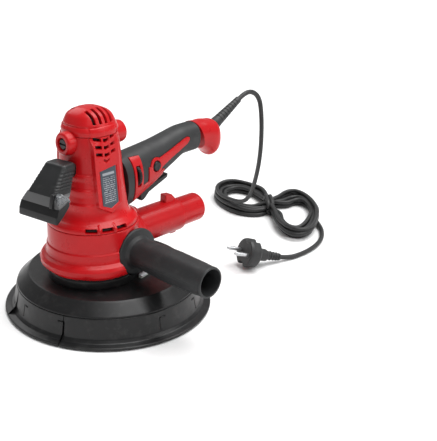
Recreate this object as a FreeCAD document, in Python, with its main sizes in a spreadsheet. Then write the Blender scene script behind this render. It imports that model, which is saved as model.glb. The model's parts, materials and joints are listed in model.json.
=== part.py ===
"""Hand-held drywall sander with a round shroud, built as an assembly of named pieces (millimetres).

Frame: the spindle axis is Z, the sanding plane is z = 0, +X points at the main handle, -Y at the side handle.
The motor stands upright beside the spindle, one gear centre distance towards -X.
"""
import FreeCAD, Part
import math
import os
import Sketcher

os.makedirs("parts", exist_ok=True)
doc = FreeCAD.newDocument("drywall_sander")

# ---------------------------------------------------------------- driving dimensions
SIZES = {
    "gear_centre": (19.6, "spindle axis to motor axis"),
    "house_shift": (19.0, "spindle axis to the axis of the gear housing"),
    "disc_radius": (90.0, "sanding disc, a standard 180 mm disc"),
    "disc_thick": (1.4, "sanding disc with its hook backing"),
    "foam_top": (10.0, "upper face of the foam pad"),
    "plate_top": (13.0, "upper face of the backing plate"),
    "hub_top": (18.0, "upper face of the backing plate's hub"),
    "dust_hole": (5.0, "radius of a dust hole"),
    "dust_ring": (62.0, "radius of the ring of dust holes"),
    "rim_radius": (114.0, "outer edge of the rim flange"),
    "rim_flange": (4.0, "upper face of the rim flange at its edge"),
    "band_foot": (104.6, "radius of the rim band at its foot"),
    "band_top": (100.2, "radius of the rim band at its top"),
    "band_height": (29.7, "top of the rim band"),
    "shroud_shoulder": (87.0, "radius where the shroud's cone meets its flat top"),
    "shroud_top": (43.0, "flat top of the shroud"),
    "segment_start": (157.4, "first end of the removable rim segment, degrees from +X"),
    "segment_sweep": (45.2, "sweep of the removable rim segment, degrees"),
    "rim_start": (203.0, "first end of the fixed rim ring, degrees from +X"),
    "rim_sweep": (314.0, "sweep of the fixed rim ring, degrees"),
    "lens_sweep": (172.0, "sweep of the clear light ring, degrees"),
    "spindle_radius": (6.0, "spindle in its bearings"),
    "shaft_radius": (4.0, "armature shaft in its bearings"),
    "run_fit": (0.05, "radial clearance of a running fit"),
    "spindle_gear_radius": (16.3, "pitch cylinder of the spindle gear"),
    "pinion_radius": (3.2, "pitch cylinder of the pinion"),
    "neck_radius": (49.5, "black neck collar"),
    "neck_top": (53.8, "top of the neck collar"),
    "house_foot": (54.0, "lower edge of the gear housing"),
    "bell_radius": (57.5, "widest part of the gear housing"),
    "drum_radius": (49.3, "drum of the gear housing"),
    "house_top": (103.7, "top of the gear housing"),
    "case_foot": (104.0, "lower edge of the motor case"),
    "case_top": (199.0, "upper edge of the motor case"),
    "case_flare": (45.5, "radius of the motor case at its foot"),
    "case_mid": (34.5, "radius of the motor case half way up"),
    "case_upper": (30.2, "radius of the motor case at its top"),
    "cap_foot": (199.2, "lower edge of the top cap"),
    "cap_radius": (28.6, "radius of the top cap"),
    "cap_top": (224.5, "highest point of the top cap"),
    "wall": (3.0, "wall of the moulded housings"),
    "brush_height": (191.5, "height of the carbon brushes"),
    "brush_boss": (12.3, "radius of a brush boss"),
    "brush_cap_radius": (6.0, "radius of a brush cap"),
    "side_height": (75.0, "height of the side handle's axis"),
    "side_root": (45.8, "distance from the spindle to the side handle's flange"),
    "side_flange": (25.2, "radius of the side handle's flange"),
    "side_grip": (17.2, "radius of the side handle's grip"),
    "side_length": (106.4, "length of the side handle"),
    "stud_radius": (4.0, "M8 stud of the side handle"),
    "pipe_height": (76.0, "height of the dust pipe's axis"),
    "pipe_radius": (19.5, "outer radius of the dust pipe"),
    "pipe_bore": (15.0, "bore of the dust pipe"),
    "nozzle_radius": (16.9, "outer radius of the nozzle's tube"),
    "nozzle_bore": (14.2, "bore of the nozzle's tube"),
    "pipe_start": (27.0, "inner end of the dust pipe"),
    "pipe_step": (104.5, "shoulder of the dust pipe"),
    "nozzle_end": (139.5, "mouth of the nozzle"),
    "handle_split": (0.05, "half of the gap between the handle shells"),
    "handle_wall": (2.8, "wall of the handle shells"),
    "trigger_half": (7.0, "half width of the trigger"),
    "pivot_radius": (1.5, "pivot pin of the trigger"),
    "pivot_along": (50.0, "place of the trigger's pivot along X"),
    "pivot_height": (123.5, "height of the trigger's pivot"),
    "lock_radius": (5.4, "lock-on button"),
    "dial_radius": (12.0, "speed dial"),
    "cord_radius": (2.9, "flexible mains cord"),
    "hank_height": (20, "height of the tied hank of cord"),
    "plug_radius": (18.0, "head of the mains plug"),
    "pin_radius": (2.4, "pins of the mains plug"),
    "pin_half": (9.5, "half of the distance between the plug's pins"),
}

sizes = doc.addObject("Spreadsheet::Sheet", "sizes")
VALUE = {}
for row, (alias, (amount, note)) in enumerate(SIZES.items(), start=1):
    sizes.set("A%d" % row, alias)
    sizes.set("B%d" % row, str(amount))
    sizes.set("C%d" % row, note)
    sizes.setAlias("B%d" % row, alias)
    VALUE[alias] = amount
doc.recompute()

X_AXIS = FreeCAD.Vector(1, 0, 0)
Y_AXIS = FreeCAD.Vector(0, 1, 0)
Z_AXIS = FreeCAD.Vector(0, 0, 1)
ALONG = {
    "z": FreeCAD.Rotation(),
    "x": FreeCAD.Rotation(Y_AXIS, 90),
    "-x": FreeCAD.Rotation(Y_AXIS, -90),
    "y": FreeCAD.Rotation(X_AXIS, -90),
    "-y": FreeCAD.Rotation(X_AXIS, 90),
}


# ---------------------------------------------------------------- helpers
def number(text):
    """Value of a sum such as 'bell_radius - wall + 2', with the words taken from the sheet."""
    total = 0.0
    sign = 1
    for word in str(text).split():
        if word in ("+", "-"):
            sign = 1 if word == "+" else -1
        elif word.lstrip("-") in VALUE:
            total += sign * (-1 if word.startswith("-") else 1) * VALUE[word.lstrip("-")]
        else:
            total += sign * float(word)
    return total


def formula(text):
    """The same sum written for setExpression."""
    words = []
    for word in str(text).split():
        name = word.lstrip("-")
        minus = "-" if word.startswith("-") and name in VALUE else ""
        words.append(minus + "sizes." + name if name in VALUE else word)
    return " ".join(words)


def bind(item, **values):
    """Bind each named property of an object to a sum of sheet cells."""
    for key, text in values.items():
        item.setExpression(key, formula(text))


def place(item, at=("0", "0", "0"), turn=None):
    """Put an object at a bound place, with a fixed turn."""
    spot = FreeCAD.Vector(*[number(text) for text in at])
    item.Placement = FreeCAD.Placement(spot, turn or FreeCAD.Rotation())
    for key, text in zip("xyz", at):
        item.setExpression("Placement.Base." + key, formula(text))
    return item


def cylinder(name, radius, height, at, along="z"):
    item = doc.addObject("Part::Cylinder", name)
    bind(item, Radius=radius, Height=height)
    return place(item, at, ALONG[along])


def block(name, length, width, height, at, turn=None):
    """A box whose corner is at a bound place."""
    item = doc.addObject("Part::Box", name)
    bind(item, Length=length, Width=width, Height=height)
    return place(item, at, turn)


def cone(name, radius, tip_radius, height, at, turn):
    item = doc.addObject("Part::Cone", name)
    bind(item, Radius1=radius, Radius2=tip_radius, Height=height)
    return place(item, at, turn)


def join(name, *items):
    result = doc.addObject("Part::MultiFuse", name)
    result.Shapes = list(items)
    return result


def cut(name, base, *tools):
    result = doc.addObject("Part::Cut", name)
    result.Base = base
    result.Tool = tools[0] if len(tools) == 1 else join(name + "_tools", *tools)
    return result


def common(name, base, tool):
    result = doc.addObject("Part::Common", name)
    result.Base = base
    result.Tool = tool
    return result


def origin_feature(body, role):
    return [item for item in body.Origin.OriginFeatures if item.Role == role][0]


def outline(body, name, plane, points):
    """Closed sketch of straight edges whose corners are bound to sums of sheet cells."""
    sketch = body.newObject("Sketcher::SketchObject", name)
    sketch.AttachmentSupport = [(origin_feature(body, plane), "")]
    sketch.MapMode = "FlatFace"
    corners = [FreeCAD.Vector(number(u), number(v), 0) for u, v in points]
    count = len(points)
    for index in range(count):
        sketch.addGeometry(Part.LineSegment(corners[index], corners[(index + 1) % count]), False)
    for index in range(count):
        sketch.addConstraint(Sketcher.Constraint("Coincident", index, 2, (index + 1) % count, 1))
    for index, texts in enumerate(points):
        for kind, axis, text in (("DistanceX", -2, texts[0]), ("DistanceY", -1, texts[1])):
            value = number(text)
            if abs(value) < 1e-9:
                sketch.addConstraint(Sketcher.Constraint("PointOnObject", index, 1, axis))
                continue
            bound = sketch.addConstraint(Sketcher.Constraint(kind, -1, 1, index, 1, value))
            sketch.setExpression("Constraints[%d]" % bound, formula(text))
    return sketch


def turned(name, points, at=("0", "0", "0"), along="z", sweep=None, start=0.0):
    """Body turned about its own axis from an outline of (radius, height) corners."""
    body = doc.addObject("PartDesign::Body", name)
    sketch = outline(body, name + "_outline", "XZ_Plane", points)
    feature = body.newObject("PartDesign::Revolution", name + "_turn")
    feature.Profile = sketch
    feature.ReferenceAxis = (sketch, ["V_Axis"])
    feature.Angle = 360.0
    if sweep:
        bind(feature, Angle=sweep)
    sketch.Visibility = False
    return place(body, at, ALONG[along].multiply(FreeCAD.Rotation(Z_AXIS, start)))


def extruded(name, points, length, plane="XZ_Plane", at=("0", "0", "0"), turn=None, both=True):
    """Body padded from an outline, half to each side of its plane unless told otherwise."""
    body = doc.addObject("PartDesign::Body", name)
    sketch = outline(body, name + "_outline", plane, points)
    feature = body.newObject("PartDesign::Pad", name + "_pad")
    feature.Profile = sketch
    feature.Midplane = both
    bind(feature, Length=length)
    return place(body, at, turn)


pieces = {}


def piece(node, item):
    """Give a finished object the name of its node."""
    item.Label = node
    pieces[node] = item
    return item


MOTOR = ("-gear_centre", "0", "0")
HOUSE = ("-house_shift", "0", "0")


# ---------------------------------------------------------------- rotating pad
def dust_holes(body, feature_name):
    """Pocket one round dust hole through a pad and repeat it eight times round the axis."""
    sketch = body.newObject("Sketcher::SketchObject", feature_name + "_hole")
    sketch.AttachmentSupport = [(origin_feature(body, "XY_Plane"), "")]
    sketch.MapMode = "FlatFace"
    centre = FreeCAD.Vector(number("dust_ring"), 0, 0)
    sketch.addGeometry(Part.Circle(centre, Z_AXIS, number("dust_hole")), False)
    sketch.addConstraint(Sketcher.Constraint("PointOnObject", 0, 3, -1))
    across = sketch.addConstraint(Sketcher.Constraint("DistanceX", -1, 1, 0, 3, centre.x))
    sketch.setExpression("Constraints[%d]" % across, formula("dust_ring"))
    round_size = sketch.addConstraint(Sketcher.Constraint("Radius", 0, number("dust_hole")))
    sketch.setExpression("Constraints[%d]" % round_size, formula("dust_hole"))
    pocket = body.newObject("PartDesign::Pocket", feature_name + "_pocket")
    pocket.Profile = sketch
    pocket.Type = 1
    pocket.Midplane = True
    doc.recompute()
    pattern = body.newObject("PartDesign::PolarPattern", feature_name + "_holes")
    pattern.Originals = [pocket]
    pattern.Axis = (origin_feature(body, "Z_Axis"), [""])
    pattern.Angle = 360
    pattern.Occurrences = 8
    body.Tip = pattern
    doc.recompute()
    return body


def make_pad():
    disc = turned("disc_body", [
        ("0", "0"), ("disc_radius", "0"), ("disc_radius", "disc_thick"), ("0", "disc_thick")])
    piece("sanding_disc", dust_holes(disc, "disc"))
    foam = turned("foam_body", [
        ("12", "disc_thick"), ("disc_radius - 1.5", "disc_thick"), ("disc_radius - 1", "5"),
        ("disc_radius - 3", "foam_top"), ("12", "foam_top")])
    piece("foam_pad", dust_holes(foam, "foam"))
    plate = turned("plate_body", [
        ("4.3", "foam_top"), ("disc_radius - 4", "foam_top"), ("disc_radius - 4", "plate_top"),
        ("24", "plate_top"), ("20", "hub_top"), ("4.3", "hub_top")])
    piece("backing_plate", dust_holes(plate, "plate"))
    bolt = turned("bolt_body", [
        ("0", "4"), ("7", "4"), ("7", "foam_top"), ("4", "foam_top"), ("4", "32"), ("0", "32")])
    piece("pad_bolt", bolt)
    spindle = turned("spindle_body", [
        ("4.1", "hub_top"), ("8", "hub_top"), ("8", "46"), ("spindle_radius", "46"),
        ("spindle_radius", "85.5"), ("0", "85.5"), ("0", "33"), ("4.1", "33")])
    piece("spindle", spindle)
    gear = turned("gear_body", [
        ("spindle_radius + 0.1", "66"), ("spindle_gear_radius", "66"), ("spindle_gear_radius", "74"),
        ("spindle_radius + 0.1", "74")])
    piece("spindle_gear", gear)


# ---------------------------------------------------------------- shroud
RIM = [
    ("band_top - 2.8", "band_height"), ("band_foot - 3", "9"), ("band_foot - 2", "1"), ("rim_radius - 0.6", "1"),
    ("rim_radius", "1.6"), ("rim_radius", "rim_flange - 0.6"), ("rim_radius - 0.6", "rim_flange"),
    ("band_foot + 2.2", "5.2"), ("band_foot", "8.5"), ("band_top", "band_height")]


def make_shroud():
    piece("shroud_cover", turned("cover_body", [
        ("14", "shroud_top - 2.6"), ("shroud_shoulder - 1.4", "shroud_top - 2.6"), ("band_top - 3.6", "30"),
        ("band_top - 0.2", "30"), ("band_top - 0.6", "31"), ("shroud_shoulder + 1", "shroud_top - 0.8"),
        ("shroud_shoulder - 1.2", "shroud_top"), ("14", "shroud_top")]))
    piece("rim_ring", turned("rim_body", RIM, sweep="rim_sweep", start=VALUE["rim_start"]))
    piece("rim_segment", turned("segment_body", RIM, sweep="segment_sweep", start=VALUE["segment_start"]))
    half_lens = VALUE["lens_sweep"] / 2
    piece("light_ring_lens", turned("lens_body", [
        ("46.6", "shroud_top + 1.4"), ("50.6", "shroud_top + 1.4"), ("51.4", "shroud_top + 2.2"),
        ("51.2", "shroud_top + 3.2"), ("50", "shroud_top + 4"), ("46.6", "shroud_top + 4")],
        sweep="lens_sweep", start=-half_lens))
    piece("light_ring_board", turned("ring_board_body", [
        ("46.6", "shroud_top + 0.1"), ("50.4", "shroud_top + 0.1"), ("50.4", "shroud_top + 1.3"),
        ("46.6", "shroud_top + 1.3")], sweep="lens_sweep", start=-half_lens))


# ---------------------------------------------------------------- gearbox
def make_gearbox():
    collar = turned("collar_body", [
        ("40", "shroud_top + 0.1"), ("neck_radius", "shroud_top + 0.1"), ("neck_radius", "neck_top - 2"),
        ("neck_radius - 1", "neck_top"), ("40", "neck_top")], at=HOUSE)
    ring_gap = cylinder("collar_ring_gap", "51.8", "12", ("0", "0", "shroud_top - 1"))
    ring_core = cylinder("collar_ring_core", "46.2", "12", ("0", "0", "shroud_top - 1"))
    rear_half = block("collar_rear_half", "80", "120", "12", ("0", "-60", "shroud_top - 1"))
    flange_a = cylinder("collar_seat_near", "side_flange + 0.6", "20", ("0", "-side_root", "side_height"), "-y")
    flange_b = cylinder("collar_seat_far", "side_flange + 0.6", "20", ("0", "side_root", "side_height"), "y")
    piece("neck_collar", cut("collar_trim", collar, common("collar_channel", cut(
        "collar_annulus", ring_gap, ring_core), rear_half), flange_a, flange_b))

    plate = cylinder("lower_plate_disc", "39.7", "9", ("-house_shift", "0", "45"))
    seat = cylinder("lower_plate_seat", "13.1", "7", ("0", "0", "48"))
    bore = cylinder("lower_plate_bore", "9", "20", ("0", "0", "40"))
    piece("lower_plate", cut("lower_plate_cut", plate, seat, bore))

    shell = turned("house_body", [
        ("neck_radius - 2.5", "house_foot"), ("neck_radius + 0.5", "house_foot"), ("bell_radius - 1.2", "59"),
        ("bell_radius", "61"), ("bell_radius", "65"), ("bell_radius - 1", "66.2"),
        ("drum_radius + 1.4", "68"), ("drum_radius + 0.4", "81.5"), ("drum_radius - 1", "83"),
        ("drum_radius - 1.2", "house_top"), ("45", "house_top"), ("45", "85"), ("46.4", "70"),
        ("bell_radius - wall", "64.5"), ("bell_radius - wall", "62"), ("neck_radius - 2.5", "57")], at=HOUSE)
    boss_a = cylinder("side_boss_near", "17", "10", ("0", "-side_root + 10.2", "side_height"), "-y")
    boss_b = cylinder("side_boss_far", "17", "10", ("0", "side_root - 10.2", "side_height"), "y")
    hole_a = cylinder("side_hole_near", "stud_radius + 0.1", "24", ("0", "-30", "side_height"), "-y")
    hole_b = cylinder("side_hole_far", "stud_radius", "24", ("0", "30", "side_height"), "y")
    core = cylinder("house_core", "38.2", "60", ("-house_shift", "0", "50"))
    duct = cylinder("duct_hole", "pipe_radius + 0.2", "60", ("10", "0", "pipe_height"), "x")
    seat_a = cylinder("side_seat_near", "side_flange + 0.6", "20", ("0", "-side_root", "side_height"), "-y")
    seat_b = cylinder("side_seat_far", "side_flange + 0.6", "20", ("0", "side_root", "side_height"), "y")
    lug_gap = block("house_lug_gap", "22", "10.6", "14", ("27", "-5.3", "93"))
    piece("gear_housing", cut("house_cut", join("house_join", shell, boss_a, boss_b), hole_a, hole_b, core, duct,
                              seat_a, seat_b, lug_gap))

    deck = cylinder("mid_deck", "44.6", "4", ("-house_shift", "0", "86"))
    low_boss = cylinder("mid_low_boss", "11.2", "9", ("0", "0", "77.5"))
    high_boss = cylinder("mid_high_boss", "14", "12", ("-gear_centre", "0", "89"))
    low_seat = cylinder("mid_low_seat", "8.6", "8.5", ("0", "0", "77"))
    high_seat = cylinder("mid_high_seat", "11.1", "10", ("-gear_centre", "0", "92.8"))
    shaft_hole = cylinder("mid_shaft_hole", "5", "30", ("-gear_centre", "0", "78"))
    notch_a = cylinder("mid_notch_near", "17.4", "20", ("0", "-33", "side_height"), "-y")
    notch_b = cylinder("mid_notch_far", "17.4", "20", ("0", "33", "side_height"), "y")
    piece("mid_plate", cut("mid_cut", join("mid_join", deck, low_boss, high_boss), low_seat, high_seat, shaft_hole,
                           notch_a, notch_b))

    def bearing(name, inner, outer, low, high, at):
        return turned(name, [(inner, low), (outer, low), (outer, high), (inner, high)], at=at)
    spindle_fit = "spindle_radius + run_fit"
    shaft_fit = "shaft_radius + run_fit"
    piece("spindle_bearings", join("spindle_bearing_pair", bearing(
        "spindle_bearing_low", spindle_fit, "13", "48.1", "54.6", ("0", "0", "0")), bearing(
        "spindle_bearing_top", spindle_fit, "8.5", "78", "85.3", ("0", "0", "0"))))
    piece("motor_bearings", join("motor_bearing_pair", bearing(
        "motor_bearing_low", shaft_fit, "11", "93", "100", MOTOR), bearing(
        "motor_bearing_top", shaft_fit, "11", "202", "209", MOTOR)))


# ---------------------------------------------------------------- motor
CASE_OUTSIDE = [
    ("case_flare", "case_foot"), ("case_flare", "108.5"), ("case_flare - 4.5", "112"), ("case_mid + 2.5", "120"),
    ("case_mid", "140"), ("case_upper + 1.3", "170"), ("case_upper", "case_top")]


def make_motor_case():
    inside = [("case_upper - wall", "case_top"), ("case_upper - 1.7", "170"), ("case_mid - wall", "140"),
              ("case_mid - 0.5", "120"), ("case_flare - 7.5", "112.5"), ("case_flare - wall", "107"),
              ("case_flare - wall", "case_foot")]
    shell = turned("case_body", CASE_OUTSIDE + inside, at=MOTOR)
    front = cylinder("boss_front", "brush_boss", "11", ("-gear_centre - 25", "0", "brush_height"), "-x")
    rear = cylinder("boss_rear", "brush_boss", "16", ("-gear_centre + 25", "0", "brush_height"), "x")
    panel = block("label_panel", "28", "12", "52", ("-gear_centre - 17", "-37.2", "121"))
    body = join("case_join", shell, front, rear, panel)
    tools = [cylinder("brush_bore", "brush_cap_radius + 0.2", "80", ("-gear_centre - 40", "0", "brush_height"), "x"),
             cylinder("case_core", "case_upper - wall", "80", ("-gear_centre", "0", "118")),
             block("label_recess", "21", "1", "42", ("-gear_centre - 13.5", "-37.7", "124.5"))]
    for side in (-1, 1):
        for index in range(3):
            centre = -16 + 16 * index
            tools.append(block("exhaust_slot_%d_%d" % (side, index), "11", "26", "4.2", (
                "-gear_centre + %s" % (centre - 5.5), "%s" % (-46 if side < 0 else 20), "104.8")))
        for column in range(3):
            for line in range(3):
                tools.append(block("vent_%d_%d_%d" % (side, column, line), "5", "16", "2.4", (
                    "-gear_centre + %s" % (-10.5 + 8 * column), "%s" % (-38 if side < 0 else 22),
                    "%s" % (179 + 8 * line))))
    piece("motor_case", cut("case_cut", body, *tools))


def make_top_cap():
    shell = turned("cap_body", [
        ("cap_radius - 0.2", "cap_foot"), ("cap_radius", "203"), ("cap_radius - 1.4", "208"), ("25.4", "212.5"),
        ("22.5", "217.5"), ("17", "221.3"), ("9", "223.8"), ("0", "cap_top"), ("0", "cap_top - 3"), ("8", "220.9"),
        ("15", "218.7"), ("19.8", "215.2"), ("22.6", "211"), ("cap_radius - 4.4", "207"), ("cap_radius - 3", "203"),
        ("cap_radius - 3.2", "cap_foot")], at=MOTOR)
    ring = turned("cap_ring", [("11.1", "201.8"), ("14", "201.8"), ("14", "220"), ("11.1", "220")], at=MOTOR)
    slots = []
    for side in (-1, 1):
        for index in range(4):
            slots.append(block("cap_slot_%d_%d" % (side, index), "2.6", "13", "14", (
                "-gear_centre + %s" % (-11.8 + 7 * index), "%s" % (-26 if side < 0 else 13), "211.5")))
    for along, word in (("-x", "front"), ("x", "rear")):
        slots.append(cylinder("cap_notch_" + word, "brush_boss + 0.2", "40", (
            "-gear_centre + %s" % (15 if along == "x" else -15), "0", "brush_height"), along))
    piece("top_cap", cut("cap_cut", join("cap_join", shell, ring), *slots))


def make_motor_inside():
    piece("armature_shaft", turned("shaft_body", [
        ("0", "64"), ("pinion_radius", "64"), ("pinion_radius", "76"), ("shaft_radius", "77"),
        ("shaft_radius", "211"), ("0", "211")], at=MOTOR))
    def sleeve(name, radius, low, high):
        return turned(name, [("shaft_radius + 0.1", low), (radius, low), (radius, high),
                             ("shaft_radius + 0.1", high)], at=MOTOR)
    piece("armature_core", sleeve("armature_body", "16", "131", "173"))
    piece("commutator", sleeve("commutator_body", "10", "184", "198.5"))
    hub = sleeve("fan_hub", "8", "106.5", "119")
    disc = sleeve("fan_disc", "29", "106.5", "108.5")
    blades = []
    for index in range(12):
        turn = FreeCAD.Rotation(Z_AXIS, 30 * index)
        spot = turn.multVec(FreeCAD.Vector(7, -0.6, 0))
        blades.append(block("fan_blade_%d" % index, "21", "1.2", "9.5", (
            "-gear_centre + %.4f" % spot.x, "%.4f" % spot.y, "108.4"), turn))
    piece("fan", join("fan_join", hub, disc, *blades))
    piece("stator_core", turned("stator_body", [
        ("17", "132"), ("case_upper - wall - 0.2", "132"), ("case_upper - wall - 0.2", "172"), ("17", "172")],
        at=MOTOR))
    coils = [turned("coil_" + name, [("18.5", low), ("26", low), ("26", high), ("18.5", high)], at=MOTOR)
             for name, low, high in (("low", "125", "131.8"), ("high", "172.2", "179"))]
    piece("field_coils", join("coil_pair", *coils))
    caps, holders, brushes = [], [], []
    for side, along in ((-1, "-x"), (1, "x")):
        word = "front" if side < 0 else "rear"
        face = side * (35 if side < 0 else 40)
        cap = cylinder("cap_disc_" + word, "brush_cap_radius", "6.5", (
            "-gear_centre + %s" % (face - 6.5 * side), "0", "brush_height"), along)
        slot = block("cap_slot_" + word, "1.6", "9", "1.4", (
            "-gear_centre + %s" % (face - 0.8 * side - 0.8), "-4.5", "brush_height - 0.7"))
        caps.append(cut("cap_cut_" + word, cap, slot))
        low = 13 if side > 0 else -28.4
        shell = block("holder_shell_" + word, "16", "8.8", "8.8", (
            "-gear_centre + %s" % low, "-4.4", "brush_height - 4.4"))
        hole = block("holder_hole_" + word, "40", "6.4", "6.4", (
            "-gear_centre + %s" % (low - 10), "-3.2", "brush_height - 3.2"))
        holders.append(cut("holder_cut_" + word, shell, hole))
        start = 10.4 if side > 0 else -25.4
        brushes.append(block("brush_block_" + word, "15", "6", "6", (
            "-gear_centre + %s" % start, "-3", "brush_height - 3")))
    piece("brush_caps", join("cap_pair", *caps))
    piece("brush_holders", join("holder_pair", *holders))
    piece("carbon_brushes", join("brush_pair", *brushes))
    piece("name_plate", block("plate_block", "20.4", "0.8", "41.4", ("-gear_centre - 13.2", "-37.6", "124.8")))


# ---------------------------------------------------------------- main handle
# station along X, height of the centre, half height, half width
HANDLE_STATIONS = [(10, 136.5, 29.5, 24), (24, 138, 29, 22.5), (40, 142.5, 26.5, 20.5), (56, 147, 24, 19),
                   (72, 152.4, 20.9, 17.8), (90, 158.4, 18.4, 16.6), (110, 164.2, 16.2, 15.6),
                   (129, 164.8, 16.2, 15.6)]
CAP_STATIONS = [(129.3, 164.8, 16.4, 15.8), (145, 161.5, 19.5, 16.6), (156, 158.2, 21.2, 17), (162, 158, 20, 15.6),
                (166, 158.5, 16, 12)]


def lofted(name, stations, inset=0.0):
    """Loft through upright ellipses at stations along X."""
    rings = []
    for index, (along, height, tall, wide) in enumerate(stations):
        ring = doc.addObject("Part::Ellipse", "%s_ring_%d" % (name, index))
        ring.MajorRadius = tall - inset
        ring.MinorRadius = wide - inset
        ring.Placement = FreeCAD.Placement(FreeCAD.Vector(along, 0, height), FreeCAD.Rotation(Y_AXIS, 90))
        rings.append(ring)
    loft = doc.addObject("Part::Loft", name)
    loft.Sections = rings
    loft.Solid = True
    loft.Ruled = False
    return loft


def make_handle():
    outer = lofted("handle_outside", HANDLE_STATIONS)
    hollow = lofted("handle_hollow", HANDLE_STATIONS, VALUE["handle_wall"])
    clearance = turned("case_clearance", [("0", "case_foot - 5")] + [
        (radius + " + 0.4", height) for radius, height in CASE_OUTSIDE] + [("0", "case_top")], at=MOTOR)
    trigger_slot = block("trigger_slot", "49", "15.2", "42", ("40.5", "-7.6", "100"))
    lock_hole = cylinder("lock_hole", "lock_radius + 0.4", "40", ("54.7", "0", "150"), "-y")
    dial_slot = block("dial_slot", "5.6", "40", "26", ("19.8", "-40", "133"))
    shell = cut("handle_shell", outer, hollow, clearance, trigger_slot, lock_hole, dial_slot)
    for side, word in ((-1, "left"), (1, "right")):
        low = "-60" if side < 0 else "handle_split"
        width = "60 - handle_split" if side < 0 else "60"
        half = block("handle_half_" + word, "160", width, "140", ("0", low, "90"))
        piece("handle_" + word, common("handle_side_" + word, shell, half))

    cap = lofted("end_cap_outside", CAP_STATIONS)
    cap_hollow = lofted("end_cap_hollow", CAP_STATIONS[:2], 3.0)
    exit_turn = FreeCAD.Rotation(Y_AXIS, 90 - 31)
    exit_hole = cylinder("cord_exit_hole", "7.6", "60", ("138", "0", "149.3"))
    exit_hole.Placement.Rotation = exit_turn
    piece("handle_end_cap", cut("end_cap_cut", cap, cap_hollow, exit_hole))
    relief = cone("relief_cone", "7", "4.2", "50", ("166", "0", "166.1"), exit_turn)
    relief_root = cylinder("relief_root", "6.8", "12", ("157", "0", "160.7"))
    relief_root.Placement.Rotation = exit_turn
    relief_bore = cylinder("relief_bore", "cord_radius + 0.2", "80", ("149", "0", "155.9"))
    relief_bore.Placement.Rotation = exit_turn
    piece("cord_strain_relief", cut("relief_cut", join("relief_join", relief, relief_root), relief_bore))

    lever = extruded("trigger_body", [
        ("43", "110"), ("46", "107.5"), ("56", "116"), ("86.5", "127.5"), ("87", "131.5"), ("57", "123.5"),
        ("54.5", "127"), ("46.5", "127"), ("43.5", "121")], "trigger_half + trigger_half")
    piece("trigger", cut("trigger_cut", lever, cylinder(
        "pivot_hole", "pivot_radius + run_fit", "40", ("pivot_along", "-20", "pivot_height"), "y")))
    piece("lock_button", cylinder("lock_pin", "lock_radius", "9.4", ("54.7", "-11.5", "150"), "-y"))
    piece("speed_dial", cylinder("dial_wheel", "dial_radius", "4", ("20.6", "-14.6", "145.7"), "x"))
    piece("switch_module", block("switch_block", "20", "15", "14", ("50", "-6", "137")))
    piece("speed_board", block("board_block", "1.6", "22", "24", ("28", "-11", "134")))
    piece("capacitor", cylinder("capacitor_can", "6.5", "24", ("96", "0", "161"), "x"))
    piece("trigger_pivot", cylinder(
        "pivot_pin", "pivot_radius", "19.2", ("pivot_along", "-9.6", "pivot_height"), "y"))


# ---------------------------------------------------------------- side handle, dust pipe
def make_side_handle():
    grip = turned("side_body", [
        ("stud_radius + 0.15", "0"), ("side_flange - 1", "0"), ("side_flange", "1"), ("side_flange", "2.6"),
        ("side_flange - 1", "3.6"), ("17.4", "4.6"), ("15.4", "7"), ("15.6", "14"), ("16.2", "24"), ("17", "45"),
        ("side_grip", "60"), ("16.4", "86"), ("15.8", "side_length - 1"), ("15.4", "side_length"),
        ("13.8", "side_length"), ("13", "side_length - 30"), ("10.5", "32"), ("stud_radius + 0.15", "30")],
        at=("0", "-side_root - 0.1", "side_height"), along="-y")
    piece("side_handle_grip", grip)
    piece("side_handle_stud", cylinder("stud_rod", "stud_radius", "40", ("0", "-34", "side_height"), "-y"))


def make_dust_pipe():
    tube = turned("pipe_body", [
        ("pipe_bore", "pipe_start"), ("pipe_radius - 0.5", "pipe_start"), ("pipe_radius", "pipe_step - 10"),
        ("pipe_radius", "pipe_step"), ("nozzle_radius + run_fit", "pipe_step"),
        ("nozzle_radius + run_fit", "pipe_step - 20"), ("pipe_bore", "pipe_step - 20")],
        at=("0", "0", "pipe_height"), along="x")
    root_lug = extruded("pipe_root_lug", [
        ("28.5", "94"), ("29.5", "104.5"), ("38.5", "102.5"), ("47", "94")], "10")
    top_lug = extruded("pipe_top_lug", [
        ("84.5", "94"), ("85.2", "104.4"), ("95", "103.2"), ("104", "94")], "10")
    low_lug = extruded("pipe_low_lug", [
        ("92", "58"), ("93.5", "54.2"), ("102", "54.2"), ("104", "58")], "9")
    piece("dust_pipe", join("pipe_join", tube, root_lug, top_lug, low_lug))
    piece("dust_nozzle", turned("nozzle_body", [
        ("nozzle_bore", "pipe_step - 19.8"), ("nozzle_radius - 0.2", "pipe_step - 19.8"),
        ("nozzle_radius - 0.2", "pipe_step + 0.5"), ("nozzle_radius", "pipe_step + 0.5"),
        ("nozzle_radius", "nozzle_end"), ("nozzle_bore", "nozzle_end")], at=("0", "0", "pipe_height"), along="x"))


# ---------------------------------------------------------------- front work lamp
LAMP_TURN = FreeCAD.Rotation(Z_AXIS, 8)


def lamp_block(name, low, low_box, high, high_box):
    """Tapered block between two level rectangles, each given as (front, rear, half width) ahead of the motor."""
    item = doc.addObject("Part::Wedge", name)
    item.Ymin, item.Ymax = 0, high - low
    item.Xmin, item.Xmax, item.Zmin, item.Zmax = -low_box[0], -low_box[1], -low_box[2], low_box[2]
    item.X2min, item.X2max, item.Z2min, item.Z2max = -high_box[0], -high_box[1], -high_box[2], high_box[2]
    return place(item, ("-gear_centre", "0", str(low)), LAMP_TURN.multiply(FreeCAD.Rotation(X_AXIS, 90)))


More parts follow.
